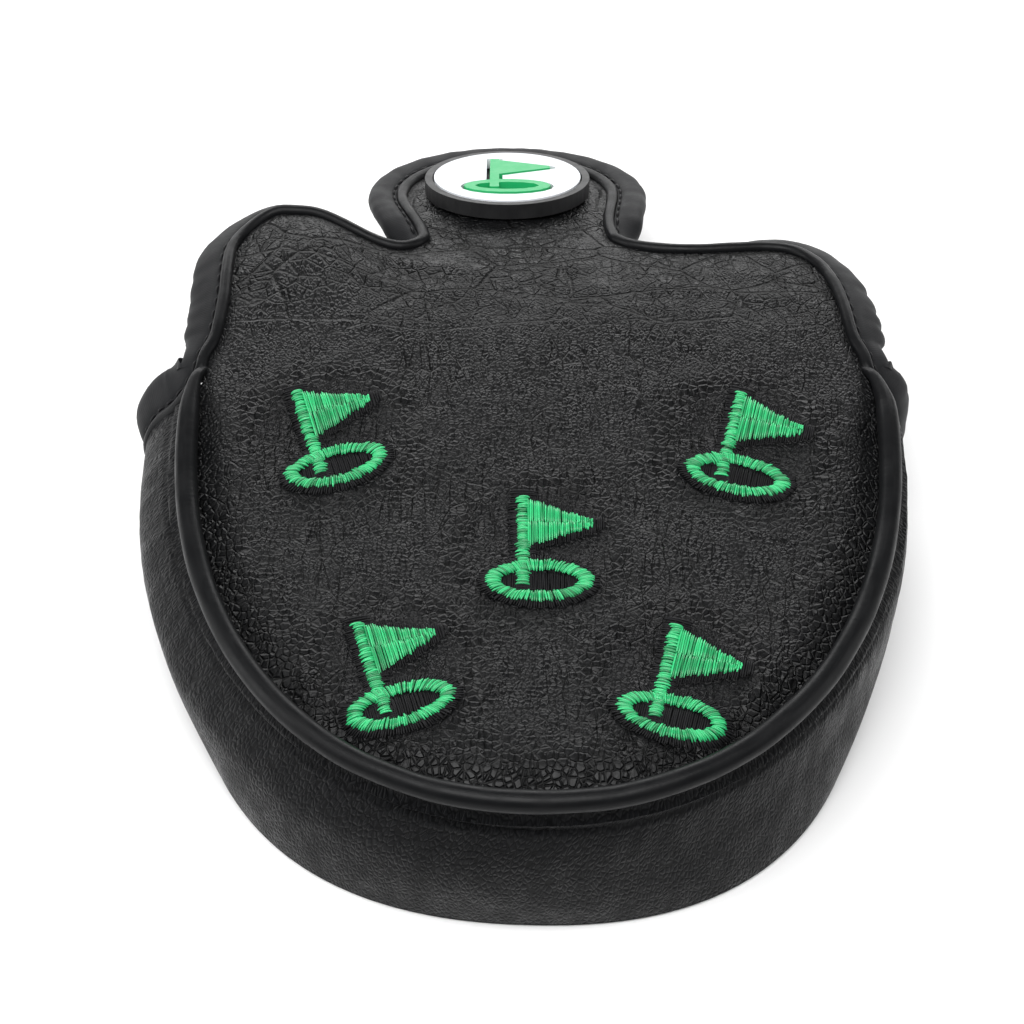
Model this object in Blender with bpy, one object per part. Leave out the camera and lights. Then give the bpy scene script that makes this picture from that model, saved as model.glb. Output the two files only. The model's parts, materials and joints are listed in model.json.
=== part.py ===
"""A padded cover for a mallet putter head, lying on its sole with the mouth towards +Y.

Frame: metres, +Z up. The origin is on the resting face of the sole, under the middle of the crown.
+Y runs from the closed end to the mouth and the tongue, +X to the right.
The cover is sewn from stacked layers: leather outside, foam, and a plush lining inside.
"""

import math

import bmesh
import bpy
from mathutils import Matrix, Vector, geometry

# ---- driving dimensions, in metres -------------------------------------------------------------
SEAM_HALF_WIDTH = 0.0593  # middle of the rear piping, seen from above
SEAM_DEPTH = 0.0737  # from the widest line back to the closed end
SEAM_WIDEST_Y = 0.025
SEAM_POWER = 2.15  # exponent of the superellipse that the seam follows
SEAM_HEIGHT = 0.034  # crown at the rear piping

LEATHER = 0.0012
FOAM = 0.0020
PLUSH = 0.0010
GAP = 0.0003  # between layers that touch
WALL_EASE = 0.0004  # more room behind the wall's leather, which curves both ways

REAR_BULGE = 0.0024  # how far the wall swells past the seam at the closed end
SIDE_BULGE = 0.0071
DIAGONAL_BULGE = -0.0028  # added between the two
REAR_FLARE = 0.0023  # how far its foot stands outside the seam
SIDE_FLARE = -0.0008
DIAGONAL_FLARE = 0.0043
UNEVEN_FLARE = 0.0016  # more of it at the right rear, less at the left rear
WALL_BULGE_POWER = 0.88
GUSSET_TOP_Y = 0.040  # where the wall ends at the mouth, at its top and foot
GUSSET_MIDDLE_Y = 0.0305  # and halfway up
SOLE_FRONT_Y = 0.054  # middle of the sole's front edge

PIPING_RADIUS = 0.0019
PIPING_CORD_RADIUS = 0.0012
PIPING_RISE = 0.0004  # piping's middle over the seam height
BEAD_RADIUS = 0.0012
GUSSET_BEAD_GAP = 0.0010
SHOULDER_END_Y = 0.0465  # the rim leaves the crown here and turns down to the wall

BAND_WIDTH = 0.0078  # elastic binding round the mouth, folded double
BAND_THICKNESS = 0.0030
TONGUE_BAND_WIDTH = 0.0048
TONGUE_ELASTIC_WIDTH = 0.0022
BAND_END_STEP = 0.0016  # the slot ends this far from the band's free edge
BAND_START_X = 0.0330  # the shoulder's band starts this far from the middle
BAND_SLOT_THICKNESS = 0.0020
ELASTIC_WIDTH = 0.0040
ELASTIC_THICKNESS = 0.0005

FOLD_Y = 0.0725  # the line about which the tongue folds
FOLD_GAP = 0.0008  # half the gap in the leather along it
PADDING_CUT_BACK = 0.0075  # padding stops this far from the fold, so that it can close
TONGUE_CENTRE_Y = 0.0927  # middle of the tongue's round end, seen from above
TONGUE_RADIUS = 0.0190
NECK_HALF_WIDTH = 0.0163
NECK_END_Y = 0.0755
TONGUE_BAND_START_Y = 0.0800
TONGUE_BAND_DROOP = 0.12

BADGE_RADIUS = 0.0155
BADGE_THICKNESS = 0.0028
BADGE_FLOOR = 0.0008
BADGE_DISC_RADIUS = 0.0138
BADGE_RISE = 0.0004
BADGE_WINDOW = 0.0007  # the disc is cut this far outside the mark

# Slope of the crown along Y, in degrees, at these places; it is linear between them.
CROWN_SLOPES = [
    (-0.060, 0.0),
    (-0.050, 0.0),
    (0.000, 1.5),
    (0.025, 4.5),
    (0.045, 0.0),
    (0.060, -12.0),
    (0.080, -24.0),
    (0.090, -26.0),
    (0.200, -26.0),
]
CROSS_DROP = 0.0010  # how much lower the crown is at its sides than along its middle

# The set that the soft cover has taken.
LEAN = -0.0031  # the wall lies this far to the left of its seam
LEAN_FROM_DEPTH, LEAN_TO_DEPTH = 0.003, 0.017  # measured down from the crown
LEAN_END_Y = 0.065
CROWN_SET_FROM_DEPTH, CROWN_SET_TO_DEPTH = 0.008, 0.018  # below this only the lean acts
TONGUE_DRIFT = -0.0053  # the tongue has been drawn to the left
DRIFT_FROM_Y, DRIFT_TO_Y = 0.050, 0.092
SHOULDER_PULL = 0.0073  # the left shoulder has been pulled forward
SHOULDER_LIFT = 0.0020  # and up
PULL_FROM_X, PULL_TO_X = 0.0205, 0.0400
PULL_FROM_Y, PULL_TO_Y = 0.042, 0.068
SQUEEZE = 0.021  # how far the sides are drawn in at the mouth
UNEVEN_SQUEEZE = 0.45  # more of it on the right

# Right shoulder of the crown, from the end of the seam to the neck, seen from above.
SHOULDER = [
    (0.0571, 0.0345),
    (0.0571, 0.0375),
    (0.0566, 0.0410),
    (0.0556, 0.0450),
    (0.0547, 0.0520),
    (0.0540, 0.0590),
    (0.0527, 0.0645),
    (0.0498, 0.0683),
    (0.0450, 0.0694),
    (0.0385, 0.0688),
    (0.0305, 0.0681),
    (0.0240, 0.0684),
    (0.0195, 0.0697),
    (0.0172, 0.0716),
]

# Foam and lining stop inside it here.
PADDED_SHOULDER = [
    (0.0505, 0.0360),
    (0.0490, 0.0420),
    (0.0450, 0.0480),
    (0.0370, 0.0510),
    (0.0260, 0.0520),
    (0.0130, 0.0525),
]

# How the binding stands out from the rim: outward and down along the shoulder's front and its side.
FRONT_HANG = (0.30, -0.90)
SIDE_HANG = (0.75, -0.65)
HANG_FROM_X, HANG_TO_X = 0.034, 0.048
# Then down the wall.
GUSSET_HANG = [
    (0.45, 0.75, -0.40),
    (0.28, 0.92, -0.05),
    (0.15, 0.97, 0.0),
    (0.0, 0.98, 0.10),
    (0.0, 0.98, 0.20),
]
GUSSET_HEIGHTS = [0.0285, 0.0235, 0.0175, 0.0110, 0.0050]

# Embroidered marks on the crown: place and turn about the vertical, in degrees.
MARKS = {
    "left_front": (-0.0357, 0.0228, 17.0),
    "right_front": (0.0348, 0.0209, -14.0),
    "middle": (0.0, -0.0005, 0.0),
    "left_rear": (-0.0237, -0.0245, 17.0),
    "right_rear": (0.0221, -0.0264, -14.0),
}
MARK_THREAD = 0.0005
MARK_BACKING = 0.0005
MARK_LIFT = 0.00045  # clears the curve of the crown under a flat mark
POLE_X, POLE_TOP, POLE_FOOT, POLE_WIDTH = -0.0026, 0.0103, -0.0070, 0.0019
PENNANT_TIP, PENNANT_LOW = (0.0088, 0.0053), 0.0006
CUP_Y, CUP_HALF_WIDTH, CUP_HALF_HEIGHT, CUP_STROKE = -0.0063, 0.0088, 0.0040, 0.0023
MARK_BORDER = 0.0012
BADGE_MARK_SCALE = 0.92

SHEET_STEP = 0.0105
WALL_PARTS = [0.0, 0.10, 0.28, 0.50, 0.72, 0.92, 1.0]  # rows of the wall; padding ends at the last but one
SEAM_STEPS = 28


# ---- shape of the cover ------------------------------------------------------------------------
def smooth(t):
    t = min(max(t, 0.0), 1.0)
    return t * t * (3 - 2 * t)


def crown_profile(y):
    """Height of the crown over the seam along its middle: the integral of CROWN_SLOPES."""
    height = 0.0
    for (y0, s0), (y1, s1) in zip(CROWN_SLOPES, CROWN_SLOPES[1:]):
        t0, t1 = math.tan(math.radians(s0)), math.tan(math.radians(s1))
        if y <= y0:
            break
        end = min(y, y1)
        slope = t0 + (t1 - t0) * (end - y0) / (y1 - y0)
        height += (t0 + slope) / 2 * (end - y0)
    return height


def crown(x, y):
    """Height of the crown's outer face."""
    return SEAM_HEIGHT + crown_profile(y) - CROSS_DROP * (x / SEAM_HALF_WIDTH) ** 2


def settle(point):
    """A point of the evenly sewn cover, moved to where the soft cover has settled."""
    x, y, z = point
    depth = crown(x, y) - z
    near_crown = 1 - smooth((depth - CROWN_SET_FROM_DEPTH) / (CROWN_SET_TO_DEPTH - CROWN_SET_FROM_DEPTH))
    pulled = (
        near_crown
        * smooth((y - PULL_FROM_Y) / (PULL_TO_Y - PULL_FROM_Y))
        * smooth((-x - PULL_FROM_X) / (PULL_TO_X - PULL_FROM_X))
        * (1 - 0.5 * smooth((-x - 0.044) / 0.009))
        * (1 - smooth((y - 0.079) / 0.008))
    )
    squeeze = SQUEEZE + math.copysign(SQUEEZE * UNEVEN_SQUEEZE, x)
    squeeze *= near_crown * smooth((y - 0.029) / 0.010) * smooth((abs(x) - 0.030) / 0.020)
    drift = TONGUE_DRIFT * near_crown * smooth((y - DRIFT_FROM_Y) / (DRIFT_TO_Y - DRIFT_FROM_Y))
    lean = LEAN * smooth((depth - LEAN_FROM_DEPTH) / (LEAN_TO_DEPTH - LEAN_FROM_DEPTH))
    lean *= smooth((LEAN_END_Y - y) / 0.02)
    x = x * (1 - squeeze) + drift + lean
    return Vector((x, y + SHOULDER_PULL * pulled, z + SHOULDER_LIFT * pulled))


def seam(angle, inset=0.0):
    """A point of the closed end's seam; 0 is its right end and pi its left end."""
    c, s = math.cos(angle), math.sin(angle)
    power = 2 / SEAM_POWER
    x = (SEAM_HALF_WIDTH - inset) * math.copysign(abs(c) ** power, c)
    return x, SEAM_WIDEST_Y - (SEAM_DEPTH - inset) * abs(s) ** power


def wall_offset(angle, z):
    """How far the wall's outer face stands outside the seam."""
    t = min(max(z / SEAM_HEIGHT, 0.0), 1.0)
    at_side = math.cos(angle) ** 2
    uneven = math.sin(2 * angle)
    bulge = REAR_BULGE + (SIDE_BULGE - REAR_BULGE) * at_side + DIAGONAL_BULGE * uneven**2
    flare = REAR_FLARE + (SIDE_FLARE - REAR_FLARE) * at_side + DIAGONAL_FLARE * uneven**2
    return bulge * math.sin(math.pi * t) ** WALL_BULGE_POWER + (flare + UNEVEN_FLARE * uneven) * (1 - t)


def gusset_front(z):
    """Where the wall ends towards the mouth, at a height."""
    return GUSSET_MIDDLE_Y + (GUSSET_TOP_Y - GUSSET_MIDDLE_Y) * (2 * z / SEAM_HEIGHT - 1) ** 2


def wall_loop(steps, z_at, depth, cut_back=0.0):
    """Points round the wall, depth inside its outer face, from its right end to its left one.

    z_at gives the height for a place on the seam.
    """
    angles = [math.pi * i / steps for i in range(steps + 1)]
    loop = []
    for angle in angles:
        z = z_at(*seam(angle))
        loop.append((*seam(angle, depth - wall_offset(angle, z)), z))
    for end in (0, -1):
        x, _, z = loop[end]
        tip = (x, gusset_front(z) - cut_back, z)
        loop.insert(0 if end == 0 else len(loop), tip)
    return loop


def seam_loop(steps, inset, front_y):
    """The seam from its right end to its left one, with straight ends carried on to front_y."""
    arc = [seam(math.pi * i / steps, inset) for i in range(steps + 1)]
    return [(arc[0][0], front_y), *arc, (arc[-1][0], front_y)]


def spline(points, steps):
    """Catmull-Rom curve through points of any dimension, steps pieces between each two."""
    points = [Vector(p) for p in points]
    ends = [2 * points[0] - points[1], *points, 2 * points[-1] - points[-2]]
    made = []
    for a, b, c, d in zip(ends, ends[1:], ends[2:], ends[3:]):
        for i in range(steps):
            t = i / steps
            square = (2 * a - 5 * b + 4 * c - d) * t**2
            cube = (3 * b - a - 3 * c + d) * t**3
            made.append(0.5 * (2 * b + (c - a) * t + square + cube))
    made.append(points[-1])
    return made


def mirrored(points):
    return [Vector((-p[0], *p[1:])) for p in reversed(points)]


def crown_outline():
    """The crown's leather seen from above, counter-clockwise, cut off at the tongue's fold."""
    steps = SEAM_STEPS
    rear = [Vector(seam(math.pi * i / steps, PIPING_RADIUS + GAP)) for i in range(steps + 1)]
    shoulder = shoulder_curve()[::-1]
    return rear[-2:0:-1] + shoulder + mirrored(shoulder)


def tongue_outline(inset, start_y):
    """The tongue seen from above, counter-clockwise, from start_y on."""
    tilt = math.cos(math.radians(CROWN_SLOPES[-1][1]))
    radius = TONGUE_RADIUS - inset
    neck = NECK_HALF_WIDTH - inset
    arc = [math.pi * i / 14 for i in range(15)]
    head = [Vector((radius * math.cos(a), TONGUE_CENTRE_Y + radius * tilt * math.sin(a))) for a in arc]
    side = [
        Vector((neck + (radius - neck) * smooth((y - NECK_END_Y) / (TONGUE_CENTRE_Y - NECK_END_Y)), y))
        for y in (start_y, start_y + (TONGUE_CENTRE_Y - start_y) / 2)
    ]
    return side + head + mirrored(side)


# ---- making solids -----------------------------------------------------------------------------
def material(name, colour, roughness):
    made = bpy.data.materials.new(name)
    made.use_nodes = True
    shader = made.node_tree.nodes["Principled BSDF"]
    shader.inputs["Base Color"].default_value = (*colour, 1.0)
    shader.inputs["Roughness"].default_value = roughness
    return made


def add_object(name, points, faces, finish, hinge=None):
    """A mesh object from world points. On the tongue, its origin is on the fold."""
    origin = hinge.location if hinge else Vector((0, 0, 0))
    mesh = bpy.data.meshes.new(name)
    mesh.from_pydata([Vector(p) - origin for p in points], [], faces)
    solid = bmesh.new()
    solid.from_mesh(mesh)
    bmesh.ops.recalc_face_normals(solid, faces=solid.faces)
    solid.to_mesh(mesh)
    solid.free()
    mesh.materials.append(finish)
    mesh.shade_smooth()
    mesh.set_sharp_from_angle(angle=math.radians(40))
    made = bpy.data.objects.new(name, mesh)
    bpy.context.scene.collection.objects.link(made)
    made.parent = hinge
    return made


def fill(rings, spots=()):
    """Triangles that fill the first ring round the other ones, with corners at the spots too."""
    corners, edges = [], []
    for ring in rings:
        start, count = len(corners), len(ring)
        corners += [Vector(p) for p in ring]
        edges += [(start + i, start + (i + 1) % count) for i in range(count)]
    points, _, faces, *_ = geometry.delaunay_2d_cdt(corners + list(spots), edges, [], 1, 1e-7)
    middles = [sum((points[i] for i in face), Vector((0, 0))) / len(face) for face in faces]
    return points, [face for face, middle in zip(faces, middles) if is_inside(middle, rings)]


def closed_between(upper, lower, triangles):
    """Points and faces of the solid between two copies of the same triangles."""
    count = len(upper)
    edges = {(a, b) for t in triangles for a, b in zip(t, (*t[1:], t[0]))}
    rim = [(a, b, b + count, a + count) for a, b in sorted(edges) if (b, a) not in edges]
    under = [[i + count for i in reversed(t)] for t in triangles]
    return upper + lower, [*triangles, *under, *rim]


def sheet(name, outline, top, bottom, finish, step=SHEET_STEP, hinge=None):
    """A sheet over an outline, between the heights top(x, y) and bottom(x, y), then settled."""
    low = Vector((min(p.x for p in outline), min(p.y for p in outline)))
    size = Vector((max(p.x for p in outline), max(p.y for p in outline))) - low
    columns, rows = (max(1, round(length / step)) for length in size)
    spots = []
    for i in range(1, columns):
        for j in range(1, rows):
            spot = low + Vector((size.x * i / columns, size.y * j / rows))
            clear = min((spot - p).length for p in outline) > 0.45 * step
            if clear and is_inside(spot, [outline]):
                spots.append(spot)
    points, triangles = fill([outline], spots)
    upper = [settle((p.x, p.y, top(p.x, p.y))) for p in points]
    lower = [settle((p.x, p.y, bottom(p.x, p.y))) for p in points]
    return add_object(name, *closed_between(upper, lower, triangles), finish, hinge)


def is_inside(spot, rings):
    """Whether spot is inside the first ring and outside the others."""
    crossings = 0
    for ring in rings:
        for a, b in zip(ring, [*ring[1:], ring[0]]):
            if (a[1] > spot.y) != (b[1] > spot.y):
                crossings += spot.x < a[0] + (spot.y - a[1]) / (b[1] - a[1]) * (b[0] - a[0])
    return crossings % 2 == 1


def wall(name, outer, inner, finish):
    """A wall between two grids of points of the same size."""
    rows, columns = len(outer), len(outer[0])
    points = [p for row in outer for p in row] + [p for row in inner for p in row]
    half = rows * columns
    faces = []
    for i in range(rows - 1):
        for j in range(columns - 1):
            a, b = i * columns + j, i * columns + j + 1
            c, d = b + columns, a + columns
            faces += [(a, b, c, d), (d + half, c + half, b + half, a + half)]
    ring = [i * columns for i in range(rows)]
    ring += [(rows - 1) * columns + j for j in range(1, columns)]
    ring += [i * columns + columns - 1 for i in range(rows - 2, -1, -1)]
    ring += [j for j in range(columns - 2, 0, -1)]
    faces += [(a, b, b + half, a + half) for a, b in zip(ring, ring[1:] + ring[:1])]
    return add_object(name, points, faces, finish)


def sweep(name, path, across, up, section, finish, hinge=None):
    """A closed section, as (across, up) pairs, carried along a path."""
    points = [p + a * u + b * v for p, u, v in zip(path, across, up) for a, b in section]
    size = len(section)
    faces = []
    for i in range(len(path) - 1):
        for j in range(size):
            a, b = i * size + j, i * size + (j + 1) % size
            faces.append((a, b, b + size, a + size))
    last = (len(path) - 1) * size
    faces += [list(range(size)), [last + j for j in reversed(range(size))]]
    return add_object(name, points, faces, finish, hinge)


def hollow_sweep(name, path, across, up, outer, inner, finish):
    """A tube with an open bore along a path."""
    size = len(outer)
    points = []
    for p, u, v in zip(path, across, up):
        points += [p + a * u + b * v for a, b in (*outer, *inner)]
    step = 2 * size
    last = step * (len(path) - 1)
    faces = []
    for j in range(size):
        k = (j + 1) % size
        for a in range(0, last, step):
            b = a + step
            faces.append((a + j, a + k, b + k, b + j))
            faces.append((b + j + size, b + k + size, a + k + size, a + j + size))
        for a in (0, last):
            faces.append((a + j, a + k, a + size + k, a + size + j))
    return add_object(name, points, faces, finish)


def directions(path):
    ends = [path[0], *path, path[-1]]
    return [(b - a).normalized() for a, b in zip(ends, ends[2:])]


def frames(path, lean_to):
    """For each point of the path, the direction nearest lean_to at right angles to it, and the third one."""
    across, up = [], []
    for along, wish in zip(directions(path), lean_to):
        a = (wish - wish.dot(along) * along).normalized()
        across.append(a)
        up.append(along.cross(a).normalized())
    return across, up


def circle(radius, sides):
    angles = [2 * math.pi * i / sides for i in range(sides)]
    return [(radius * math.cos(a), radius * math.sin(a)) for a in angles]


def tube(name, path, radius, sides, finish, hinge=None):
    across, up = frames(path, [Vector((0, 0, 1))] * len(path))
    return sweep(name, path, across, up, circle(radius, sides), finish, hinge)


# ---- materials ---------------------------------------------------------------------------------
def make_materials():
    return {
        "leather": material("crown_leather", (0.020, 0.021, 0.023), 0.42),
        "wall_leather": material("wall_leather", (0.022, 0.023, 0.025), 0.45),
        "piping": material("piping_leather", (0.018, 0.019, 0.021), 0.35),
        "foam": material("foam", (0.55, 0.54, 0.50), 0.95),
        "plush": material("plush_lining", (0.030, 0.031, 0.034), 0.95),
        "knit": material("binding_knit", (0.028, 0.029, 0.032), 0.70),
        "elastic": material("elastic", (0.75, 0.74, 0.70), 0.80),
        "cord": material("piping_cord", (0.80, 0.79, 0.74), 0.60),
        "black_thread": material("black_thread", (0.010, 0.010, 0.011), 0.60),
        "green_thread": material("green_thread", (0.030, 0.500, 0.180), 0.45),
        "black_rubber": material("black_rubber", (0.015, 0.015, 0.016), 0.55),
        "white_rubber": material("white_rubber", (0.80, 0.81, 0.83), 0.50),
        "green_rubber": material("green_rubber", (0.025, 0.480, 0.160), 0.45),
    }


# ---- crown, sole and wall ----------------------------------------------------------------------
STACK = LEATHER + GAP + FOAM + GAP + PLUSH  # from the outer face of the leather to the lining's inner face


def layer(depth):
    """Height of a face that lies depth below the crown's outer face."""
    return lambda x, y: crown(x, y) - depth


def make_crown(finishes):
    outline = crown_outline()
    sheet("crown_panel", outline, layer(0), layer(LEATHER), finishes["leather"])
    back = STACK + WALL_EASE + GAP
    rear = [Vector(seam(math.pi * i / 22, PIPING_RADIUS + back)) for i in range(23)]
    shoulder = spline([*PADDED_SHOULDER, (0.0, PADDED_SHOULDER[-1][1])], 3)[:-1]
    padding = rear[-2:0:-1] + shoulder + mirrored(shoulder)
    foam_top, foam_bottom = LEATHER + GAP, LEATHER + GAP + FOAM
    fine = 0.0085
    sheet("crown_padding", padding, layer(foam_top), layer(foam_bottom), finishes["foam"], fine)
    sheet("crown_lining", padding, layer(foam_bottom + GAP), layer(STACK), finishes["plush"], fine)


def wall_grid(depth, parts, cut_back):
    """Rows of points on the wall's face that lies depth inside its outer face."""
    low = LEATHER + GAP
    below = PIPING_RADIUS - PIPING_RISE + GAP
    grid = []
    for part in parts:

        def z_at(x, y):
            return low + (crown(x, y) - below - low) * part

        grid.append([settle(p) for p in wall_loop(SEAM_STEPS, z_at, depth, cut_back)])
    return grid


def make_wall(finishes):
    foam_out = LEATHER + GAP + WALL_EASE
    foam_in = foam_out + FOAM
    plush_out = foam_in + GAP
    whole, padded = WALL_PARTS, WALL_PARTS[:-1]
    cut = 0.002
    wall("wall_panel", wall_grid(0, whole, 0), wall_grid(LEATHER, whole, 0), finishes["wall_leather"])
    wall("wall_padding", wall_grid(foam_out, padded, cut), wall_grid(foam_in, padded, cut), finishes["foam"])
    plush_in = plush_out + PLUSH
    wall("wall_lining", wall_grid(plush_out, padded, cut), wall_grid(plush_in, padded, cut), finishes["plush"])


def sole_front(x, half):
    """The sole's front edge: it bows forward between the wall's feet, half apart."""
    return gusset_front(0) + (SOLE_FRONT_Y - gusset_front(0)) * (1 - (x / half) ** 2)


def sole_outline(depth, front_inset):
    """The sole seen from above, counter-clockwise, depth inside the wall's outer face."""
    low = LEATHER + GAP
    loop = wall_loop(24, lambda x, y: low, depth, front_inset)
    rear = [Vector(p[:2]) for p in loop][::-1]
    half = rear[-1].x
    steps = 12
    front = []
    for i in range(1, steps):
        x = half * math.cos(math.pi * i / steps)
        front.append(Vector((x, sole_front(x, half) - front_inset)))
    return rear + front


def flat(height):
    return lambda x, y: height


def make_sole(finishes):
    foam_low, foam_high = LEATHER + GAP, LEATHER + GAP + FOAM
    plush_low = foam_high + GAP
    coarse = 0.04
    sheet("sole_panel", sole_outline(0, 0), flat(LEATHER), flat(0), finishes["wall_leather"], coarse)
    padding = sole_outline(STACK + WALL_EASE + GAP, 0.003)
    sheet("sole_padding", padding, flat(foam_high), flat(foam_low), finishes["foam"], coarse)
    sheet("sole_lining", padding, flat(plush_low + PLUSH), flat(plush_low), finishes["plush"], coarse)


# ---- piping, bead and binding ------------------------------------------------------------------
def piping_path():
    loop = seam_loop(SEAM_STEPS, 0, GUSSET_TOP_Y - 0.003)
    return [settle((x, y, crown(x, y) + PIPING_RISE)) for x, y in loop]


def make_piping(finishes):
    path = piping_path()
    across, up = frames(path, [Vector((0, 0, 1))] * len(path))
    sides = 6
    outer, inner = circle(PIPING_RADIUS, sides), circle(PIPING_CORD_RADIUS + GAP, sides)
    hollow_sweep("rear_piping_cover", path, across, up, outer, inner, finishes["piping"])
    tube("rear_piping_cord", path, PIPING_CORD_RADIUS, 6, finishes["cord"])


def shoulder_curve():
    """The crown's edge from the neck round the right shoulder to the end of the seam."""
    return spline([*SHOULDER, (NECK_HALF_WIDTH, FOLD_Y - FOLD_GAP)], 2)[::-1]


def rim_path(side):
    """The mouth's rim on one side, from the notch to the wall's foot, and how the band hangs."""
    clear = BEAD_RADIUS + GAP
    edge = shoulder_curve()
    ends = [edge[0], *edge, edge[-1]]
    places, ways = [], []
    for before, at, after in zip(ends, edge, ends[2:]):
        along = (after - before).normalized()
        x, y = at + clear * Vector((-along.y, along.x))
        if y > SHOULDER_END_Y and x > NECK_HALF_WIDTH + 0.003:
            places.append((x, y, crown(x, y) - LEATHER / 2))
            part = smooth((x - HANG_FROM_X) / (HANG_TO_X - HANG_FROM_X))
            out, down = (a + (b - a) * part for a, b in zip(FRONT_HANG, SIDE_HANG))
            ways.append((-along.y * out, along.x * out, down))
    corner = places[-1]
    down = []
    for z in GUSSET_HEIGHTS:
        x = SEAM_HALF_WIDTH + wall_offset(0, z) - LEATHER / 2
        down.append((x, gusset_front(z) + BEAD_RADIUS + GUSSET_BEAD_GAP, z))
    down = spline([corner, *down], 4)[1:]
    ways += spline([ways[-1], *GUSSET_HANG], 4)[1:]
    path = [settle((side * p[0], p[1], p[2])) for p in [*places, *down]]
    hang = [Vector((side * w[0], w[1], w[2])).normalized() for w in ways]
    return path, hang


def band_section(width):
    """The folded band: a U that is open where it is sewn on, and round at its free edge."""
    half, slot = BAND_THICKNESS / 2, BAND_SLOT_THICKNESS / 2
    nose = width - 0.0008
    end = width - BAND_END_STEP
    return [
        (0.0, -half),
        (nose, -half),
        (width, -half / 2),
        (width, half / 2),
        (nose, half),
        (0.0, half),
        (0.0, slot),
        (end, slot),
        (end, -slot),
        (0.0, -slot),
    ]


def elastic_section(band_width, width):
    half = ELASTIC_THICKNESS / 2
    end = band_width - BAND_END_STEP - 2 * GAP
    start = end - width
    return [(start, -half), (end, -half), (end, half), (start, half)]


def make_band(name, path, hang, finishes, hinge=None):
    width, elastic = (TONGUE_BAND_WIDTH, TONGUE_ELASTIC_WIDTH) if hinge else (BAND_WIDTH, ELASTIC_WIDTH)
    across, up = frames(path, hang)
    clear = BEAD_RADIUS + GAP
    sewn = [p + clear * a for p, a in zip(path, across)]
    sweep(f"{name}_binding", sewn, across, up, band_section(width), finishes["knit"], hinge)
    section = elastic_section(width, elastic)
    sweep(f"{name}_elastic", sewn, across, up, section, finishes["elastic"], hinge)


def make_rim(finishes):
    for name, side in (("right", 1), ("left", -1)):
        path, hang = rim_path(side)
        skip = sum(abs(p.x - settle((0, p.y, p.z)).x) < BAND_START_X for p in path[:8])
        make_band(name, path[skip:], hang[skip:], finishes)
        tube(f"{name}_bead", path, BEAD_RADIUS, 6, finishes["piping"])


def make_sole_band(finishes):
    half = SEAM_HALF_WIDTH + wall_offset(0, LEATHER + GAP)
    end = half - 0.010
    steps = 14
    lift = BAND_THICKNESS / 2 + GAP
    path, hang = [], []
    for i in range(steps + 1):
        x = end * (1 - 2 * i / steps)
        path.append(settle((x, sole_front(x, half) - BEAD_RADIUS + GAP, lift)))
        hang.append(Vector((0.3 * x / half, 1, 0)))
    make_band("sole", path, hang, finishes)


# ---- tongue ------------------------------------------------------------------------------------
def make_hinge():
    """An empty on the line about which the tongue folds."""
    hinge = bpy.data.objects.new("tongue_fold", None)
    hinge.location = settle((0, FOLD_Y, crown(0, FOLD_Y) - LEATHER / 2))
    bpy.context.scene.collection.objects.link(hinge)
    return hinge


def make_tongue(finishes, hinge):
    start = FOLD_Y + FOLD_GAP
    padded = FOLD_Y + PADDING_CUT_BACK
    fine = 0.009
    leather = tongue_outline(0, start)
    sheet("tongue_panel", leather, layer(0), layer(LEATHER), finishes["leather"], fine, hinge)
    foam_top, foam_bottom = LEATHER + GAP, LEATHER + GAP + FOAM
    padding = tongue_outline(0.001, padded)
    sheet("tongue_padding", padding, layer(foam_top), layer(foam_bottom), finishes["foam"], fine, hinge)
    sheet("tongue_lining", padding, layer(foam_bottom + GAP), layer(STACK), finishes["plush"], fine, hinge)
    edge = tongue_outline(-BEAD_RADIUS - GAP, start + 0.0022)
    path = [settle((p.x, p.y, crown(p.x, p.y) - LEATHER / 2)) for p in edge]
    tube("tongue_bead", path, BEAD_RADIUS, 6, finishes["piping"], hinge)
    edge = tongue_outline(-BEAD_RADIUS - GAP, TONGUE_BAND_START_Y)
    path = [settle((p.x, p.y, crown(p.x, p.y) - LEATHER / 2)) for p in edge]
    slope = math.tan(math.radians(CROWN_SLOPES[-1][1]))
    outward = [Vector((d.y, -d.x, -d.x * slope - TONGUE_BAND_DROOP)) for d in directions(path)]
    make_band("tongue", path, outward, finishes, hinge)


def place(made, spot, turn, hinge=None):
    """Stands an object on the settled crown at spot (x, y, depth), turned about its own upright."""
    x, y, depth = spot
    step = 0.002
    at = settle((x, y, crown(x, y) - depth))
    right = settle((x + step, y, crown(x + step, y))) - settle((x - step, y, crown(x - step, y)))
    forward = settle((x, y + step, crown(x, y + step))) - settle((x, y - step, crown(x, y - step)))
    up = right.cross(forward).normalized()
    right = (right - right.dot(up) * up).normalized()
    stand = Matrix((right, up.cross(right), up)).transposed().to_4x4()
    made.parent = hinge
    origin = hinge.location if hinge else Vector((0, 0, 0))
    made.matrix_local = Matrix.Translation(at - origin) @ stand @ Matrix.Rotation(math.radians(turn), 4, "Z")


def prism(name, rings, low, high, finish):
    """A flat plate between two heights, with holes, built at the origin."""
    points, triangles = fill(rings)
    upper = [Vector((*p, high)) for p in points]
    lower = [Vector((*p, low)) for p in points]
    return add_object(name, *closed_between(upper, lower, triangles), finish)


def disc(name, radius, low, high, sides, finish):
    return prism(name, [circle(radius, sides)], low, high, finish)


# ---- the mark: a pennant on a pole over a cup --------------------------------------------------
def ellipse(half_width, half_height, middle_y, sides):
    return [(half_width * a, middle_y + half_height * b) for a, b in circle(1, sides)]


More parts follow.
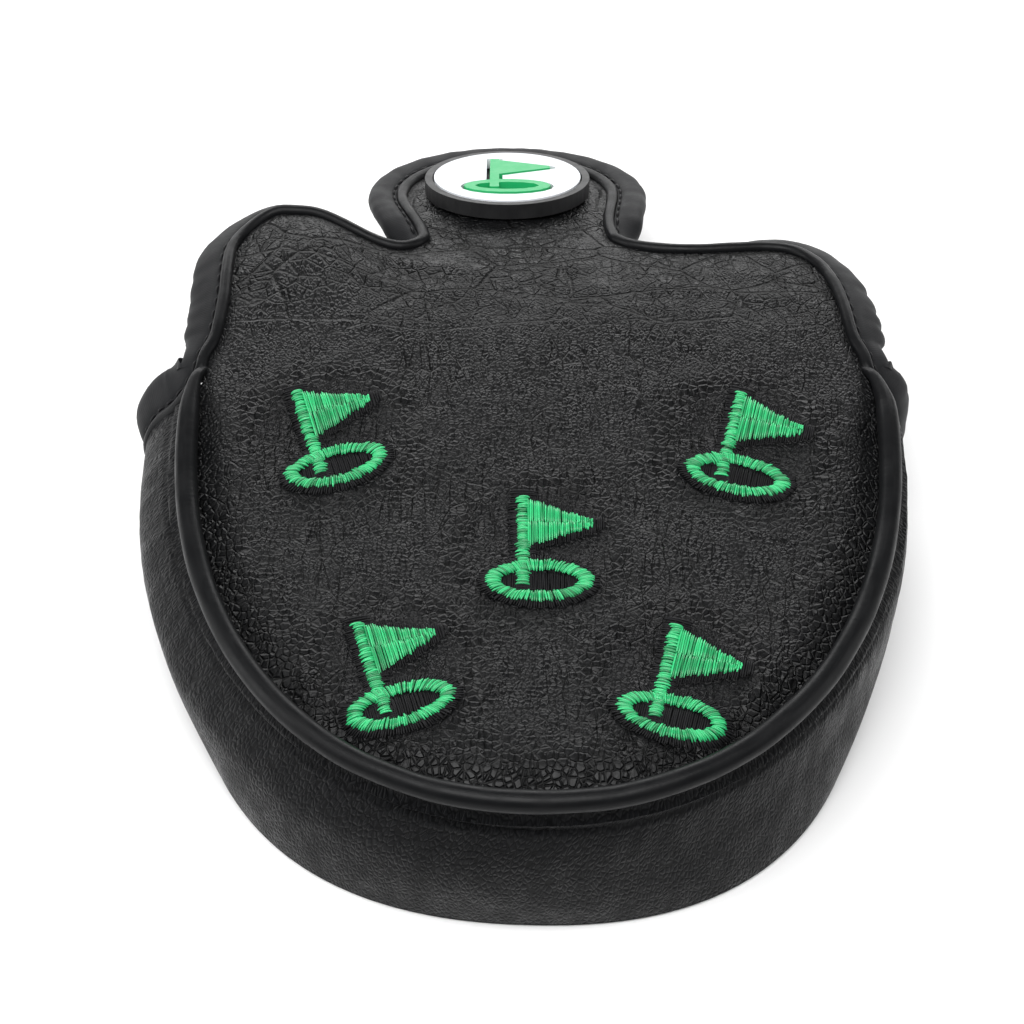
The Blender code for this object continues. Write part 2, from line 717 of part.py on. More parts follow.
def mark_parts(grow):
    """Loops of the mark: its pole, its pennant, and the outside and inside of its cup, widened by grow."""
    half = POLE_WIDTH / 2 + grow
    pole = [
        (POLE_X - half, POLE_FOOT - grow),
        (POLE_X + half, POLE_FOOT - grow),
        (POLE_X + half, POLE_TOP + grow),
        (POLE_X - half, POLE_TOP + grow),
    ]
    tip_x, tip_y = PENNANT_TIP
    low, high = PENNANT_LOW, 2 * tip_y - PENNANT_LOW
    flag = [
        (POLE_X, low - grow),
        (tip_x + 1.6 * grow, tip_y - 0.0006),
        (tip_x + 1.6 * grow, tip_y + 0.0006),
        (POLE_X, high + grow),
    ]
    cup_out = ellipse(CUP_HALF_WIDTH + grow, CUP_HALF_HEIGHT + grow, CUP_Y, 18)
    cup_in = ellipse(CUP_HALF_WIDTH - CUP_STROKE, CUP_HALF_HEIGHT - 0.8 * CUP_STROKE, CUP_Y, 12)
    return pole, flag, cup_out, cup_in


def join(made, others):
    """Boolean union of plates into the first one; the others are used up."""
    for other in others:
        union = made.modifiers.new("union", "BOOLEAN")
        union.operation = "UNION"
        union.object = other
    graph = bpy.context.evaluated_depsgraph_get()
    mesh = bpy.data.meshes.new_from_object(made.evaluated_get(graph))
    made.modifiers.clear()
    made.data = mesh
    for other in others:
        bpy.data.objects.remove(other)
    return made


def make_mark(name, low, high, grow, cup_open, finish):
    """The mark as one plate, with its cup open for the threads and closed for their backing."""
    pole, flag, cup_out, cup_in = mark_parts(grow)
    pole_plate = prism(name, [pole], low, high, finish)
    flag_plate = prism(name + "_flag", [flag], low, high, finish)
    cup = prism(name + "_cup", [cup_out, cup_in] if cup_open else [cup_out], low, high, finish)
    return join(pole_plate, [flag_plate, cup])


def make_marks(finishes):
    for place_name, (x, y, turn) in MARKS.items():
        name = f"mark_{place_name}"
        backing = make_mark(f"{name}_backing", 0, MARK_BACKING, MARK_BORDER, False, finishes["black_thread"])
        place(backing, (x, y, -MARK_LIFT), turn)
        thread = make_mark(f"{name}_thread", 0, MARK_THREAD, 0, True, finishes["green_thread"])
        place(thread, (x, y, -MARK_LIFT - MARK_BACKING - GAP), turn)


def make_badge(finishes, hinge):
    """A rubber badge: a black dish, a white disc in it, and a green mark let into the disc."""
    sides = 56
    black, white_finish = finishes["black_rubber"], finishes["white_rubber"]
    through = 2 * BADGE_THICKNESS
    dish = disc("badge_dish", BADGE_RADIUS, 0, BADGE_THICKNESS, sides, black)
    cut(dish, disc("badge_hollow", BADGE_DISC_RADIUS + GAP, BADGE_FLOOR, through, sides, black))
    floor = BADGE_FLOOR + GAP
    face = BADGE_THICKNESS + 0.0002
    white = disc("badge_disc", BADGE_DISC_RADIUS, floor, face, sides, white_finish)
    window = make_mark("badge_window", 0, through, BADGE_WINDOW, False, black)
    window.data.transform(Matrix.Diagonal((BADGE_MARK_SCALE, BADGE_MARK_SCALE, 1, 1)))
    cut(white, window)
    green = make_mark("badge_mark", floor, face + 0.0002, 0, True, finishes["green_rubber"])
    green.data.transform(Matrix.Diagonal((BADGE_MARK_SCALE, BADGE_MARK_SCALE, 1, 1)))
    for made in (dish, white, green):
        place(made, (0, TONGUE_CENTRE_Y, -BADGE_RISE), 0, hinge)


def cut(made, cutter):
    """Boolean difference; the cutter is used up."""
    difference = made.modifiers.new("cut", "BOOLEAN")
    difference.operation = "DIFFERENCE"
    difference.object = cutter
    graph = bpy.context.evaluated_depsgraph_get()
    mesh = bpy.data.meshes.new_from_object(made.evaluated_get(graph))
    made.modifiers.clear()
    made.data = mesh
    bpy.data.objects.remove(cutter)


def main():
    for old in list(bpy.data.objects):
        bpy.data.objects.remove(old)
    finishes = make_materials()
    hinge = make_hinge()
    make_crown(finishes)
    make_wall(finishes)
    make_sole(finishes)
    make_piping(finishes)
    make_rim(finishes)
    make_sole_band(finishes)
    make_tongue(finishes, hinge)
    make_badge(finishes, hinge)
    make_marks(finishes)


main()
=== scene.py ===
"""The looks of a padded cover for a mallet putter head, over its CAD frame.

All lengths are in metres, in the frame of the CAD: +Y from the closed end to the tongue, +Z up.
"""

import json
import math

import bmesh
import bpy
import numpy as np
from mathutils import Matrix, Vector, geometry


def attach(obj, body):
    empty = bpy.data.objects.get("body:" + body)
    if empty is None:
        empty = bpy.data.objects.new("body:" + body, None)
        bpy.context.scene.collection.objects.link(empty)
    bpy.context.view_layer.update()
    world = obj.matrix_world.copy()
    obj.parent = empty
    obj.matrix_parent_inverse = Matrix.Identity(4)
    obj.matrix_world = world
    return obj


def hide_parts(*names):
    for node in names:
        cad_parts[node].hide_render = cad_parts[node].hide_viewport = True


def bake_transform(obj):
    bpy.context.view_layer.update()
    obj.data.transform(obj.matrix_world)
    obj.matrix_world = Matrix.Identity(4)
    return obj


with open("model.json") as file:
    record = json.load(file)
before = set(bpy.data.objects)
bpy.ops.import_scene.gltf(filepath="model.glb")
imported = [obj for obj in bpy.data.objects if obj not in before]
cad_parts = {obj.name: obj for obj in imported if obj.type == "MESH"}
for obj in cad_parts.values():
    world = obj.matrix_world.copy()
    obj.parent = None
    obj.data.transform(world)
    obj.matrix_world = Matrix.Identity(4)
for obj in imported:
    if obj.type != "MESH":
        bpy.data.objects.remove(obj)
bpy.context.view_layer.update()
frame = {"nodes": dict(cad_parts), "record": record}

# ---- the cover's shape, as in the CAD ----
SEAM_HALF_WIDTH = 0.0593
SEAM_DEPTH = 0.0737
SEAM_WIDEST_Y = 0.025
SEAM_POWER = 2.15
SEAM_HEIGHT = 0.034

LEATHER = 0.0012
FOAM = 0.0020
PLUSH = 0.0010
GAP = 0.0003
STACK = LEATHER + FOAM + PLUSH + 2 * GAP

REAR_BULGE = 0.0024
SIDE_BULGE = 0.0071
DIAGONAL_BULGE = -0.0028
REAR_FLARE = 0.0023
SIDE_FLARE = -0.0008
DIAGONAL_FLARE = 0.0043
UNEVEN_FLARE = 0.0016
WALL_BULGE_POWER = 0.88
GUSSET_TOP_Y = 0.040
GUSSET_MIDDLE_Y = 0.0305
SOLE_FRONT_Y = 0.054

TONGUE_CENTRE_Y = 0.0927
TONGUE_RADIUS = 0.0190
NECK_HALF_WIDTH = 0.0163
NECK_END_Y = 0.0755

CROWN_SLOPES = [
    (-0.060, 0.0), (-0.050, 0.0), (0.000, 1.5), (0.025, 4.5), (0.045, 0.0), (0.060, -12.0),
    (0.080, -24.0), (0.090, -26.0), (0.200, -26.0),
]
CROSS_DROP = 0.0010

LEAN = -0.0031
LEAN_FROM_DEPTH, LEAN_TO_DEPTH = 0.003, 0.017
LEAN_END_Y = 0.065
CROWN_SET_FROM_DEPTH, CROWN_SET_TO_DEPTH = 0.008, 0.018
TONGUE_DRIFT = -0.0053
DRIFT_FROM_Y, DRIFT_TO_Y = 0.050, 0.092
SHOULDER_PULL = 0.0073
SHOULDER_LIFT = 0.0020
PULL_FROM_X, PULL_TO_X = 0.0205, 0.0400
PULL_FROM_Y, PULL_TO_Y = 0.042, 0.068
SQUEEZE = 0.021
UNEVEN_SQUEEZE = 0.45

SHOULDER = [
    (0.0581, 0.0345), (0.0581, 0.0375), (0.0573, 0.0410), (0.0558, 0.0450), (0.0549, 0.0520),
    (0.0542, 0.0590), (0.0529, 0.0646), (0.0499, 0.0685), (0.0450, 0.0695), (0.0385, 0.0689),
    (0.0305, 0.0682), (0.0240, 0.0685), (0.0195, 0.0698), (0.0172, 0.0717),
]
FRONT_HANG = (0.30, 0.90)
SIDE_HANG = (0.75, 0.65)
HANG_FROM_X, HANG_TO_X = 0.034, 0.048
GUSSET_HANG = [
    (0.45, 0.75, -0.40), (0.28, 0.92, -0.05), (0.15, 0.97, 0.0), (0.0, 0.98, 0.10),
    (0.0, 0.98, 0.20),
]
GUSSET_TOP_CUT = 0.0045  # the leather is trimmed back where the binding turns down
LEFT_GUSSET_FORWARD = 0.0030
GUSSET_HEIGHTS = [0.0285, 0.0235, 0.0175, 0.0110, 0.0050]
SHOULDER_END_Y = 0.0400

MARKS = {
    "left_front": (-0.0357, 0.0228, 17.0),
    "right_front": (0.0348, 0.0209, -14.0),
    "middle": (0.0, -0.0005, 0.0),
    "left_rear": (-0.0237, -0.0245, 17.0),
    "right_rear": (0.0221, -0.0264, -14.0),
}
POLE_X, POLE_TOP, POLE_FOOT, POLE_WIDTH = -0.0026, 0.0103, -0.0070, 0.0019
PENNANT_TIP, PENNANT_LOW = (0.0088, 0.0053), 0.0006
CUP_Y, CUP_HALF_WIDTH, CUP_HALF_HEIGHT, CUP_STROKE = -0.0063, 0.0088, 0.0040, 0.0023
MARK_BORDER = 0.0012

# ---- sizes that only show here ----
PIPING_RADIUS = 0.0019
PIPING_RISE = 0.0004
PIPING_END = [(0.0591, 0.0348), (0.0583, 0.0376), (0.0574, 0.0401)]
PIPING_SINK = 0.0022
PIPING_SINK_FROM_Y, PIPING_SINK_OVER = 0.0352, 0.005
PIPING_TIP, PIPING_TAPER = 0.35, 0.016  # the tip's part of the full radius, and the taper's length
BEAD_CROSSES = (0.0591, 0.0372)  # where the bead passes over the piping, and how far below the crown
BEAD_CROSSES_DROP = 0.0014
BEAD_RADIUS = 0.00110
BEAD_OFFSET = 0.0009  # from the leather's edge to the bead's middle
BEAD_SINK = 0.0006
RIM_STEP = 0.0009
BAND_WIDTH = 0.0078
TONGUE_BAND_WIDTH = 0.0056
NOTCH_BAND_WIDTH = 0.0040
NOTCH_AT, NOTCH_REACH = (0.0185, 0.0712), 0.005
CORNER_WAY = (0.62, 0.45, -0.70)  # how the binding hangs where it turns down past the piping
CORNER_PINCH = 0.0033  # and how much narrower it is gathered there
TONGUE_BAND_DROOP = 0.12
PUCKER_SPACING = 0.0064
LEFT_PUCKER = 0.3  # the left side of the mouth is gathered less
# The folded binding's outer face and, from its free edge back, its inner one: way out, height.
BAND_OUTER = [(0.0, 0.0), (0.35, 0.45), (0.75, 0.45), (1.2, 0.85), (2.0, 1.2), (3.2, 1.45), (4.8, 1.6)]
BAND_EDGE = [(6.3, 1.45), (7.3, 0.95), (7.8, 0.1), (7.4, -0.8)]
BAND_INNER = [(6.0, -1.3), (3.0, -1.2), (1.0, -0.9), (0.0, -0.5)]
GROOVE_AT, GROOVE_HEIGHT = 0.00065, 0.00070
BAND_START = BEAD_RADIUS - 0.0003  # from the bead's middle
TONGUE_FROM_Y = 0.0690  # beyond this, a piece near the middle belongs to the tongue
TONGUE_LEATHER_HALF, TONGUE_RIM_HALF = 0.0215, 0.0222

LEATHER_STEP = 0.0011  # spacing of the crown leather's points
ROLL_WIDTH = 0.0085  # the crown turns down towards its edge over this distance
ROLL_DROP = 0.0022
FREE_ROLL_WIDTH, FREE_ROLL_DROP = 0.0035, 0.0007  # the same along the mouth and the tongue
MARK_DENT = 0.0007
MARK_DENT_RADIUS = 0.0150
# The fold of wall leather under the seam and the hollow under that: parts of the seam's height.
FOLD_AT, FOLD_WIDTH, HOLLOW_AT, HOLLOW_WIDTH = 0.882, 0.020, 0.835, 0.016
FOLD_SIZE = 0.00062
TONGUE_PAD_HALF_WIDTH, TONGUE_PAD_HALF_LENGTH = 0.0135, 0.0125

STITCH_LENGTH, STITCH_GAP, STITCH_RADIUS = 0.0021, 0.0009, 0.00022
THREAD_RADIUS = 0.00018
THREAD_SPACING = 0.00035


# ---- shape functions, on arrays ----
def smooth(t):
    t = np.clip(t, 0.0, 1.0)
    return t * t * (3 - 2 * t)


def make_profile():
    """Places along Y and the crown's height over the seam there: the integral of CROWN_SLOPES."""
    knots = np.array(CROWN_SLOPES)
    ys = np.linspace(knots[0, 0], knots[-1, 0], 1041)
    slopes = np.interp(ys, knots[:, 0], np.tan(np.radians(knots[:, 1])))
    steps = (slopes[1:] + slopes[:-1]) / 2 * np.diff(ys)
    return ys, np.concatenate([[0.0], np.cumsum(steps)])


PROFILE = make_profile()


def crown(x, y):
    return SEAM_HEIGHT + np.interp(y, *PROFILE) - CROSS_DROP * (x / SEAM_HALF_WIDTH) ** 2


def settle(points):
    """Points of the evenly sewn cover, moved to where the soft cover has settled."""
    points = np.asarray(points, float)
    x, y, z = points[..., 0], points[..., 1], points[..., 2]
    depth = crown(x, y) - z
    near_crown = 1 - smooth((depth - CROWN_SET_FROM_DEPTH) / (CROWN_SET_TO_DEPTH - CROWN_SET_FROM_DEPTH))
    pulled = near_crown * smooth((y - PULL_FROM_Y) / (PULL_TO_Y - PULL_FROM_Y))
    pulled = pulled * smooth((-x - PULL_FROM_X) / (PULL_TO_X - PULL_FROM_X))
    pulled = pulled * (1 - 0.5 * smooth((-x - 0.044) / 0.009)) * (1 - smooth((y - 0.079) / 0.008))
    squeeze = SQUEEZE + SQUEEZE * UNEVEN_SQUEEZE * np.where(x < 0, -1.0, 1.0)
    squeeze = squeeze * near_crown * smooth((y - 0.029) / 0.010) * smooth((abs(x) - 0.030) / 0.020)
    drift = TONGUE_DRIFT * near_crown * smooth((y - DRIFT_FROM_Y) / (DRIFT_TO_Y - DRIFT_FROM_Y))
    lean = LEAN * smooth((depth - LEAN_FROM_DEPTH) / (LEAN_TO_DEPTH - LEAN_FROM_DEPTH))
    lean = lean * smooth((LEAN_END_Y - y) / 0.02)
    x = x * (1 - squeeze) + drift + lean
    return np.stack([x, y + SHOULDER_PULL * pulled, z + SHOULDER_LIFT * pulled], -1)


def seam(angle, inset=0.0):
    """Points of the closed end's seam; 0 is its right end and pi its left end."""
    c, s = np.cos(angle), np.sin(angle)
    power = 2 / SEAM_POWER
    x = (SEAM_HALF_WIDTH - inset) * np.sign(c) * abs(c) ** power
    return x, SEAM_WIDEST_Y - (SEAM_DEPTH - inset) * abs(s) ** power


def wall_offset(angle, z):
    t = np.clip(z / SEAM_HEIGHT, 0.0, 1.0)
    at_side, uneven = np.cos(angle) ** 2, np.sin(2 * angle)
    bulge = REAR_BULGE + (SIDE_BULGE - REAR_BULGE) * at_side + DIAGONAL_BULGE * uneven**2
    flare = REAR_FLARE + (SIDE_FLARE - REAR_FLARE) * at_side + DIAGONAL_FLARE * uneven**2
    return bulge * np.sin(np.pi * t) ** WALL_BULGE_POWER + (flare + UNEVEN_FLARE * uneven) * (1 - t)


def gusset_front(z, side=1):
    """How far forward the wall reaches at height z, on the right (1) or the left (-1)."""
    front = GUSSET_MIDDLE_Y + (GUSSET_TOP_Y - GUSSET_MIDDLE_Y) * (2 * z / SEAM_HEIGHT - 1) ** 2
    front = front - GUSSET_TOP_CUT * smooth((z - 0.024) / 0.010)
    return front + LEFT_GUSSET_FORWARD * (side < 0) * smooth((0.034 - z) / 0.012)


def sole_front(x, half):
    return gusset_front(0) + (SOLE_FRONT_Y - gusset_front(0)) * (1 - (x / half) ** 2)


def spline(points, steps):
    """Catmull-Rom curve through points of any dimension, steps pieces between each two."""
    points = np.asarray(points, float)
    ends = np.vstack([2 * points[0] - points[1], points, 2 * points[-1] - points[-2]])
    t = np.arange(steps)[:, None] / steps
    made = []
    for a, b, c, d in zip(ends, ends[1:], ends[2:], ends[3:]):
        square = (2 * a - 5 * b + 4 * c - d) * t**2
        cube = (3 * b - a - 3 * c + d) * t**3
        made.append(0.5 * (2 * b + (c - a) * t + square + cube))
    return np.vstack([*made, points[-1:]])


def length_along(path):
    return np.concatenate([[0.0], np.cumsum(np.linalg.norm(np.diff(path, axis=0), axis=1))])


def at_places(places, along, values):
    return np.stack([np.interp(places, along, values[:, k]) for k in range(values.shape[1])], -1)


def resample(path, step):
    """A path with points at even distances of about step, and the distance along it of each."""
    path = np.asarray(path, float)
    along = length_along(path)
    places = np.linspace(0, along[-1], max(2, round(along[-1] / step) + 1))
    return at_places(places, along, path), places


def directions(path):
    ends = np.vstack([path[:1], path, path[-1:]])
    way = ends[2:] - ends[:-2]
    return way / np.linalg.norm(way, axis=1, keepdims=True)


def unit(v):
    return v / np.linalg.norm(v, axis=-1, keepdims=True)


def outline_distance(points, loop):
    """Distance of 2-D points from a closed loop."""
    a = loop
    b = np.roll(loop, -1, axis=0)
    d = b - a
    best = np.full(len(points), np.inf)
    for start, way in zip(a, d):
        t = np.clip(((points - start) @ way) / (way @ way), 0, 1)
        best = np.minimum(best, np.linalg.norm(points - start - t[:, None] * way, axis=1))
    return best


def inside(points, loop):
    x, y = points[:, 0], points[:, 1]
    odd = np.zeros(len(points), bool)
    for (ax, ay), (bx, by) in zip(loop, np.roll(loop, -1, axis=0)):
        if ay != by:
            odd ^= ((ay > y) != (by > y)) & (x < ax + (y - ay) / (by - ay) * (bx - ax))
    return odd


def noise(seed, points, size):
    """Smooth noise in -1..1 made of waves of about that size, the same each run."""
    rng = np.random.default_rng(seed)
    total = np.zeros(len(points))
    waves = 14
    for _ in range(waves):
        way = unit(rng.normal(size=points.shape[1]))
        turns = points @ way * 2 * np.pi / (size * rng.uniform(0.7, 1.5))
        total += np.sin(turns + rng.uniform(0, 2 * np.pi))
    return total / math.sqrt(waves)


# ---- the crown's leather, seen from above ----
def mirrored(points):
    return np.asarray(points)[::-1] * [-1, 1]


def tongue_side():
    """Right half of the tongue's edge, from the neck to its tip."""
    tilt = math.cos(math.radians(CROWN_SLOPES[-1][1]))
    ys = np.linspace(NECK_END_Y, TONGUE_CENTRE_Y, 12)[:-1]
    xs = NECK_HALF_WIDTH + (TONGUE_RADIUS - NECK_HALF_WIDTH) * smooth(
        (ys - NECK_END_Y) / (TONGUE_CENTRE_Y - NECK_END_Y)
    )
    arc = np.linspace(0, np.pi / 2, 30)
    head = [TONGUE_RADIUS * np.cos(arc), TONGUE_CENTRE_Y + TONGUE_RADIUS * tilt * np.sin(arc)]
    return np.vstack([np.stack([xs, ys], -1), np.stack(head, -1)])


def mouth_edge():
    """Right half of the crown's free edge: shoulder, notch and tongue, from the seam's end to the tip."""
    shoulder = spline([*SHOULDER, (NECK_HALF_WIDTH, 0.0732)], 12)
    return np.vstack([shoulder[:-1], tongue_side()])


def crown_loop(inset):
    """The whole crown with its tongue, counter-clockwise, its seam side inset from the seam."""
    angles = np.linspace(np.pi, 0, 200)
    rear = np.stack(seam(angles, inset), -1)
    free = mouth_edge()
    loop = np.vstack([rear[1:-1], free, mirrored(free)[1:]])
    closed = np.vstack([loop, loop[:1]])
    return resample(closed, LEATHER_STEP)[0][:-1]


CROWN_LOOP = crown_loop(0.0012)
SEAM_LOOP = np.stack(seam(np.linspace(np.pi, 0, 160)), -1)


def relief(points):
    """Height of the padded crown's surface over its plain shape, at 2-D points inside it."""
    edge = outline_distance(points, CROWN_LOOP)
    free = smooth((points[:, 1] - 0.020) / 0.016)
    drop = ROLL_DROP * (1 - free) + FREE_ROLL_DROP * free
    width = ROLL_WIDTH * (1 - free) + FREE_ROLL_WIDTH * free
    height = -drop * (1 - smooth(edge / width)) ** 1.6
    for x, y, _ in MARKS.values():
        r = np.linalg.norm((points - [x, y]) * [1.05, 1.0], axis=1)
        height -= MARK_DENT * (1 - smooth((r - 0.0085) / (MARK_DENT_RADIUS - 0.0085)))
    height += 0.00016 * noise(3, points, 0.017) * smooth(edge / 0.01)
    height += 0.00006 * noise(4, points, 0.006) * smooth(edge / 0.006)
    creased = smooth((points[:, 1] - 0.040) / 0.015) * smooth(edge / 0.006)
    height += 0.00013 * noise(5, points * [0.3, 1.0], 0.0065) * creased
    return height


def skin(points, depth=0.0):
    """Settled 3-D points that lie depth below the crown's surface, at 2-D points."""
    x, y = points[:, 0], points[:, 1]
    return settle(np.stack([x, y, crown(x, y) + relief(points) - depth], -1))


# ---- meshes ----
def add_piece(name, points, faces, finish, lay=None, sharp=40):
    """A smooth mesh object. lay holds each point's place on the flat material, for the shader."""
    mesh = bpy.data.meshes.new(name)
    mesh.from_pydata(np.asarray(points).tolist(), [], faces)
    solid = bmesh.new()
    solid.from_mesh(mesh)
    bmesh.ops.recalc_face_normals(solid, faces=solid.faces)
    solid.to_mesh(mesh)
    solid.free()
    if lay is not None:
        kept = mesh.attributes.new("lay", "FLOAT_VECTOR", "POINT")
        kept.data.foreach_set("vector", np.asarray(lay, np.float32).ravel())
    mesh.materials.append(finish)
    mesh.shade_smooth()
    mesh.set_sharp_from_angle(angle=math.radians(sharp))
    made = bpy.data.objects.new(name, mesh)
    bpy.context.scene.collection.objects.link(made)
    return made


def fill(loop, step):
    """Points and triangles that fill a closed loop at about that spacing."""
    low, high = loop.min(0), loop.max(0)
    row = step * math.sqrt(3) / 2
    ys = np.arange(low[1] + row, high[1], row)
    xs = np.arange(low[0] + step, high[0], step)
    grid = np.array([(x + (step / 2 if j % 2 else 0), y) for j, y in enumerate(ys) for x in xs])
    grid = grid[inside(grid, loop)]
    grid = grid[outline_distance(grid, loop) > 0.55 * step]
    corners = [Vector(p) for p in np.vstack([loop, grid])]
    edges = [(i, (i + 1) % len(loop)) for i in range(len(loop))]
    points, _, faces, *_ = geometry.delaunay_2d_cdt(corners, edges, [], 1, 1e-7)
    points = np.array([tuple(p) for p in points])
    middles = np.array([points[list(f)].mean(0) for f in faces])
    keep = inside(middles, loop)
    return points, [tuple(f) for f, k in zip(faces, keep) if k]


def closed_between(count, triangles):
    """Faces of the solid between two copies of the same triangles, the second count points on."""
    edges = {(a, b) for t in triangles for a, b in zip(t, (*t[1:], t[0]))}
    rim = [(a, b, b + count, a + count) for a, b in sorted(edges) if (b, a) not in edges]
    under = [tuple(i + count for i in reversed(t)) for t in triangles]
    return [*triangles, *under, *rim]


def renumbered(triangles):
    """The points that some triangles use, and the triangles in terms of those alone."""
    used = sorted({i for t in triangles for i in t})
    index = {old: new for new, old in enumerate(used)}
    return used, [tuple(index[i] for i in t) for t in triangles]


def grid_faces(rows, columns, wrap=False):
    faces = []
    for i in range(rows - 1):
        for j in range(columns if wrap else columns - 1):
            a, b = i * columns + j, i * columns + (j + 1) % columns
            faces.append((a, b, b + columns, a + columns))
    return faces


def plate(name, outer, inner, finish, lay):
    """A closed shell between two grids of points of the same shape (rows, columns, 3)."""
    rows, columns = outer.shape[:2]
    half = rows * columns
    faces = grid_faces(rows, columns)
    under = [tuple(i + half for i in reversed(f)) for f in faces]
    ring = [i * columns for i in range(rows)]
    ring += [(rows - 1) * columns + j for j in range(1, columns)]
    ring += [i * columns + columns - 1 for i in range(rows - 2, -1, -1)]
    ring += [j for j in range(columns - 2, 0, -1)]
    rim = [(a, b, b + half, a + half) for a, b in zip(ring, ring[1:] + ring[:1])]
    points = np.vstack([outer.reshape(-1, 3), inner.reshape(-1, 3)])
    flat = lay.reshape(-1, 3)
    return add_piece(name, points, [*faces, *under, *rim], finish, np.vstack([flat, flat]))


def frames(path, wish):
    """Directions at right angles to a path: the one nearest to wish, and the third one."""
    along = directions(path)
    across = unit(wish - (wish * along).sum(1, keepdims=True) * along)
    return across, unit(np.cross(along, across))


def sweep(name, path, across, up, sections, finish):
    """A closed section carried along a path: sections has shape (points on path, section points, 2)."""
    count, size = len(path), sections.shape[1]
    points = path[:, None] + sections[..., :1] * across[:, None] + sections[..., 1:] * up[:, None]
    faces = grid_faces(count, size, wrap=True)
    last = (count - 1) * size
    faces += [tuple(reversed(range(size))), tuple(last + j for j in range(size))]
    lay = np.zeros((count, size, 3))
    lay[..., 0] = length_along(path)[:, None]
    lay[..., 1] = length_along(sections[0])[None]
    return add_piece(name, points.reshape(-1, 3), faces, finish, lay.reshape(-1, 3), sharp=60)


def circle(sides):
    angles = np.linspace(0, 2 * np.pi, sides, endpoint=False)
    return np.stack([np.cos(angles), np.sin(angles)], -1)


def tube(name, path, radii, finish, sides=16, wish=(0, 0, 1)):
    across, up = frames(path, np.tile(np.array(wish, float), (len(path), 1)))
    sections = circle(sides)[None] * np.broadcast_to(radii, (len(path),))[:, None, None]
    return sweep(name, path, across, up, sections, finish)


# ---- materials ----
def tint(colour, factor):
    return (*[c * factor for c in colour], 1)


class Nodes:
    """A Principled material that is being wired up."""

    def __init__(self, name, colour, roughness, **values):
        self.material = bpy.data.materials.new(name)
        self.material.use_nodes = True
        self.tree = self.material.node_tree
        self.shader = self.tree.nodes["Principled BSDF"]
        self.set("Base Color", (*colour, 1.0))
        self.set("Roughness", roughness)
        for key, value in values.items():
            self.set(key.replace("_", " "), value)

    def set(self, socket, value):
        self.shader.inputs[socket].default_value = value

    def add(self, kind, inputs=(), **settings):
        node = self.tree.nodes.new(kind)
        for key, value in settings.items():
            setattr(node, key, value)
        for socket, value in dict(inputs).items():
            if isinstance(value, bpy.types.NodeSocket):
                self.tree.links.new(value, node.inputs[socket])
            else:
                node.inputs[socket].default_value = value
        return node

    def link(self, output, socket):
        self.tree.links.new(output, self.shader.inputs[socket])

    def lay(self):
        return self.add("ShaderNodeAttribute", attribute_name="lay").outputs["Vector"]

    def place(self):
        return self.add("ShaderNodeTexCoord").outputs["Object"]

    def stretch(self, vector, scale):
        return self.add("ShaderNodeVectorMath", {0: vector, 1: scale}, operation="MULTIPLY").outputs[0]

    def noise(self, vector, scale, detail=2.0):
        inputs = {"Vector": vector, "Scale": scale, "Detail": detail}
        return self.add("ShaderNodeTexNoise", inputs).outputs["Fac"]

    def cells(self, vector, scale, feature="DISTANCE_TO_EDGE", randomness=1.0):
        inputs = {"Vector": vector, "Scale": scale, "Randomness": randomness}
        return self.add("ShaderNodeTexVoronoi", inputs, feature=feature).outputs["Distance"]

    def ramp(self, value, low, high, to_low=0.0, to_high=1.0, curve="SMOOTHSTEP"):
        inputs = {"Value": value, "From Min": low, "From Max": high, "To Min": to_low, "To Max": to_high}
        return self.add("ShaderNodeMapRange", inputs, interpolation_type=curve).outputs[0]

    def cracks(self, cells, width):
        """1 along the borders of the cells, falling to 0 at width from them."""
        return self.ramp(cells, 0.0, width, 1.0, 0.0)

    def maths(self, operation, a, b):
        return self.add("ShaderNodeMath", {0: a, 1: b}, operation=operation).outputs[0]

    def times(self, a, b):
        return self.maths("MULTIPLY", a, b)

    def mix(self, amount, a, b):
        node = self.add("ShaderNodeMix", data_type="RGBA")
        for socket, value in (("Factor", amount), ("A", a), ("B", b)):
            slot = next(i for i in node.inputs if i.name == socket and i.enabled)
            if isinstance(value, bpy.types.NodeSocket):
                self.tree.links.new(value, slot)
            else:
                slot.default_value = value
        return next(o for o in node.outputs if o.enabled)

    def bump(self, height, strength, distance, normal=None):
        inputs = {"Height": height, "Strength": strength, "Distance": distance}
        if normal is not None:
            inputs["Normal"] = normal
        return self.add("ShaderNodeBump", inputs).outputs["Normal"]

    def attribute(self, name):
        return self.add("ShaderNodeAttribute", attribute_name=name).outputs["Fac"]

    def mottle(self, vector, scale, detail, colour, darkest, lightest):
        """A colour that varies in patches between two strengths of itself."""
        return self.mix(self.noise(vector, scale, detail), tint(colour, darkest), tint(colour, lightest))

    def rough(self, vector, scale, detail, low, high, spread=0.2):
        """Roughness that varies in patches from low to high."""
        patches = self.noise(vector, scale, detail)
        self.link(self.ramp(patches, 0.5 - spread, 0.5 + spread, low, high), "Roughness")


LEATHER_ROUGHNESS = (0.30, 0.44)


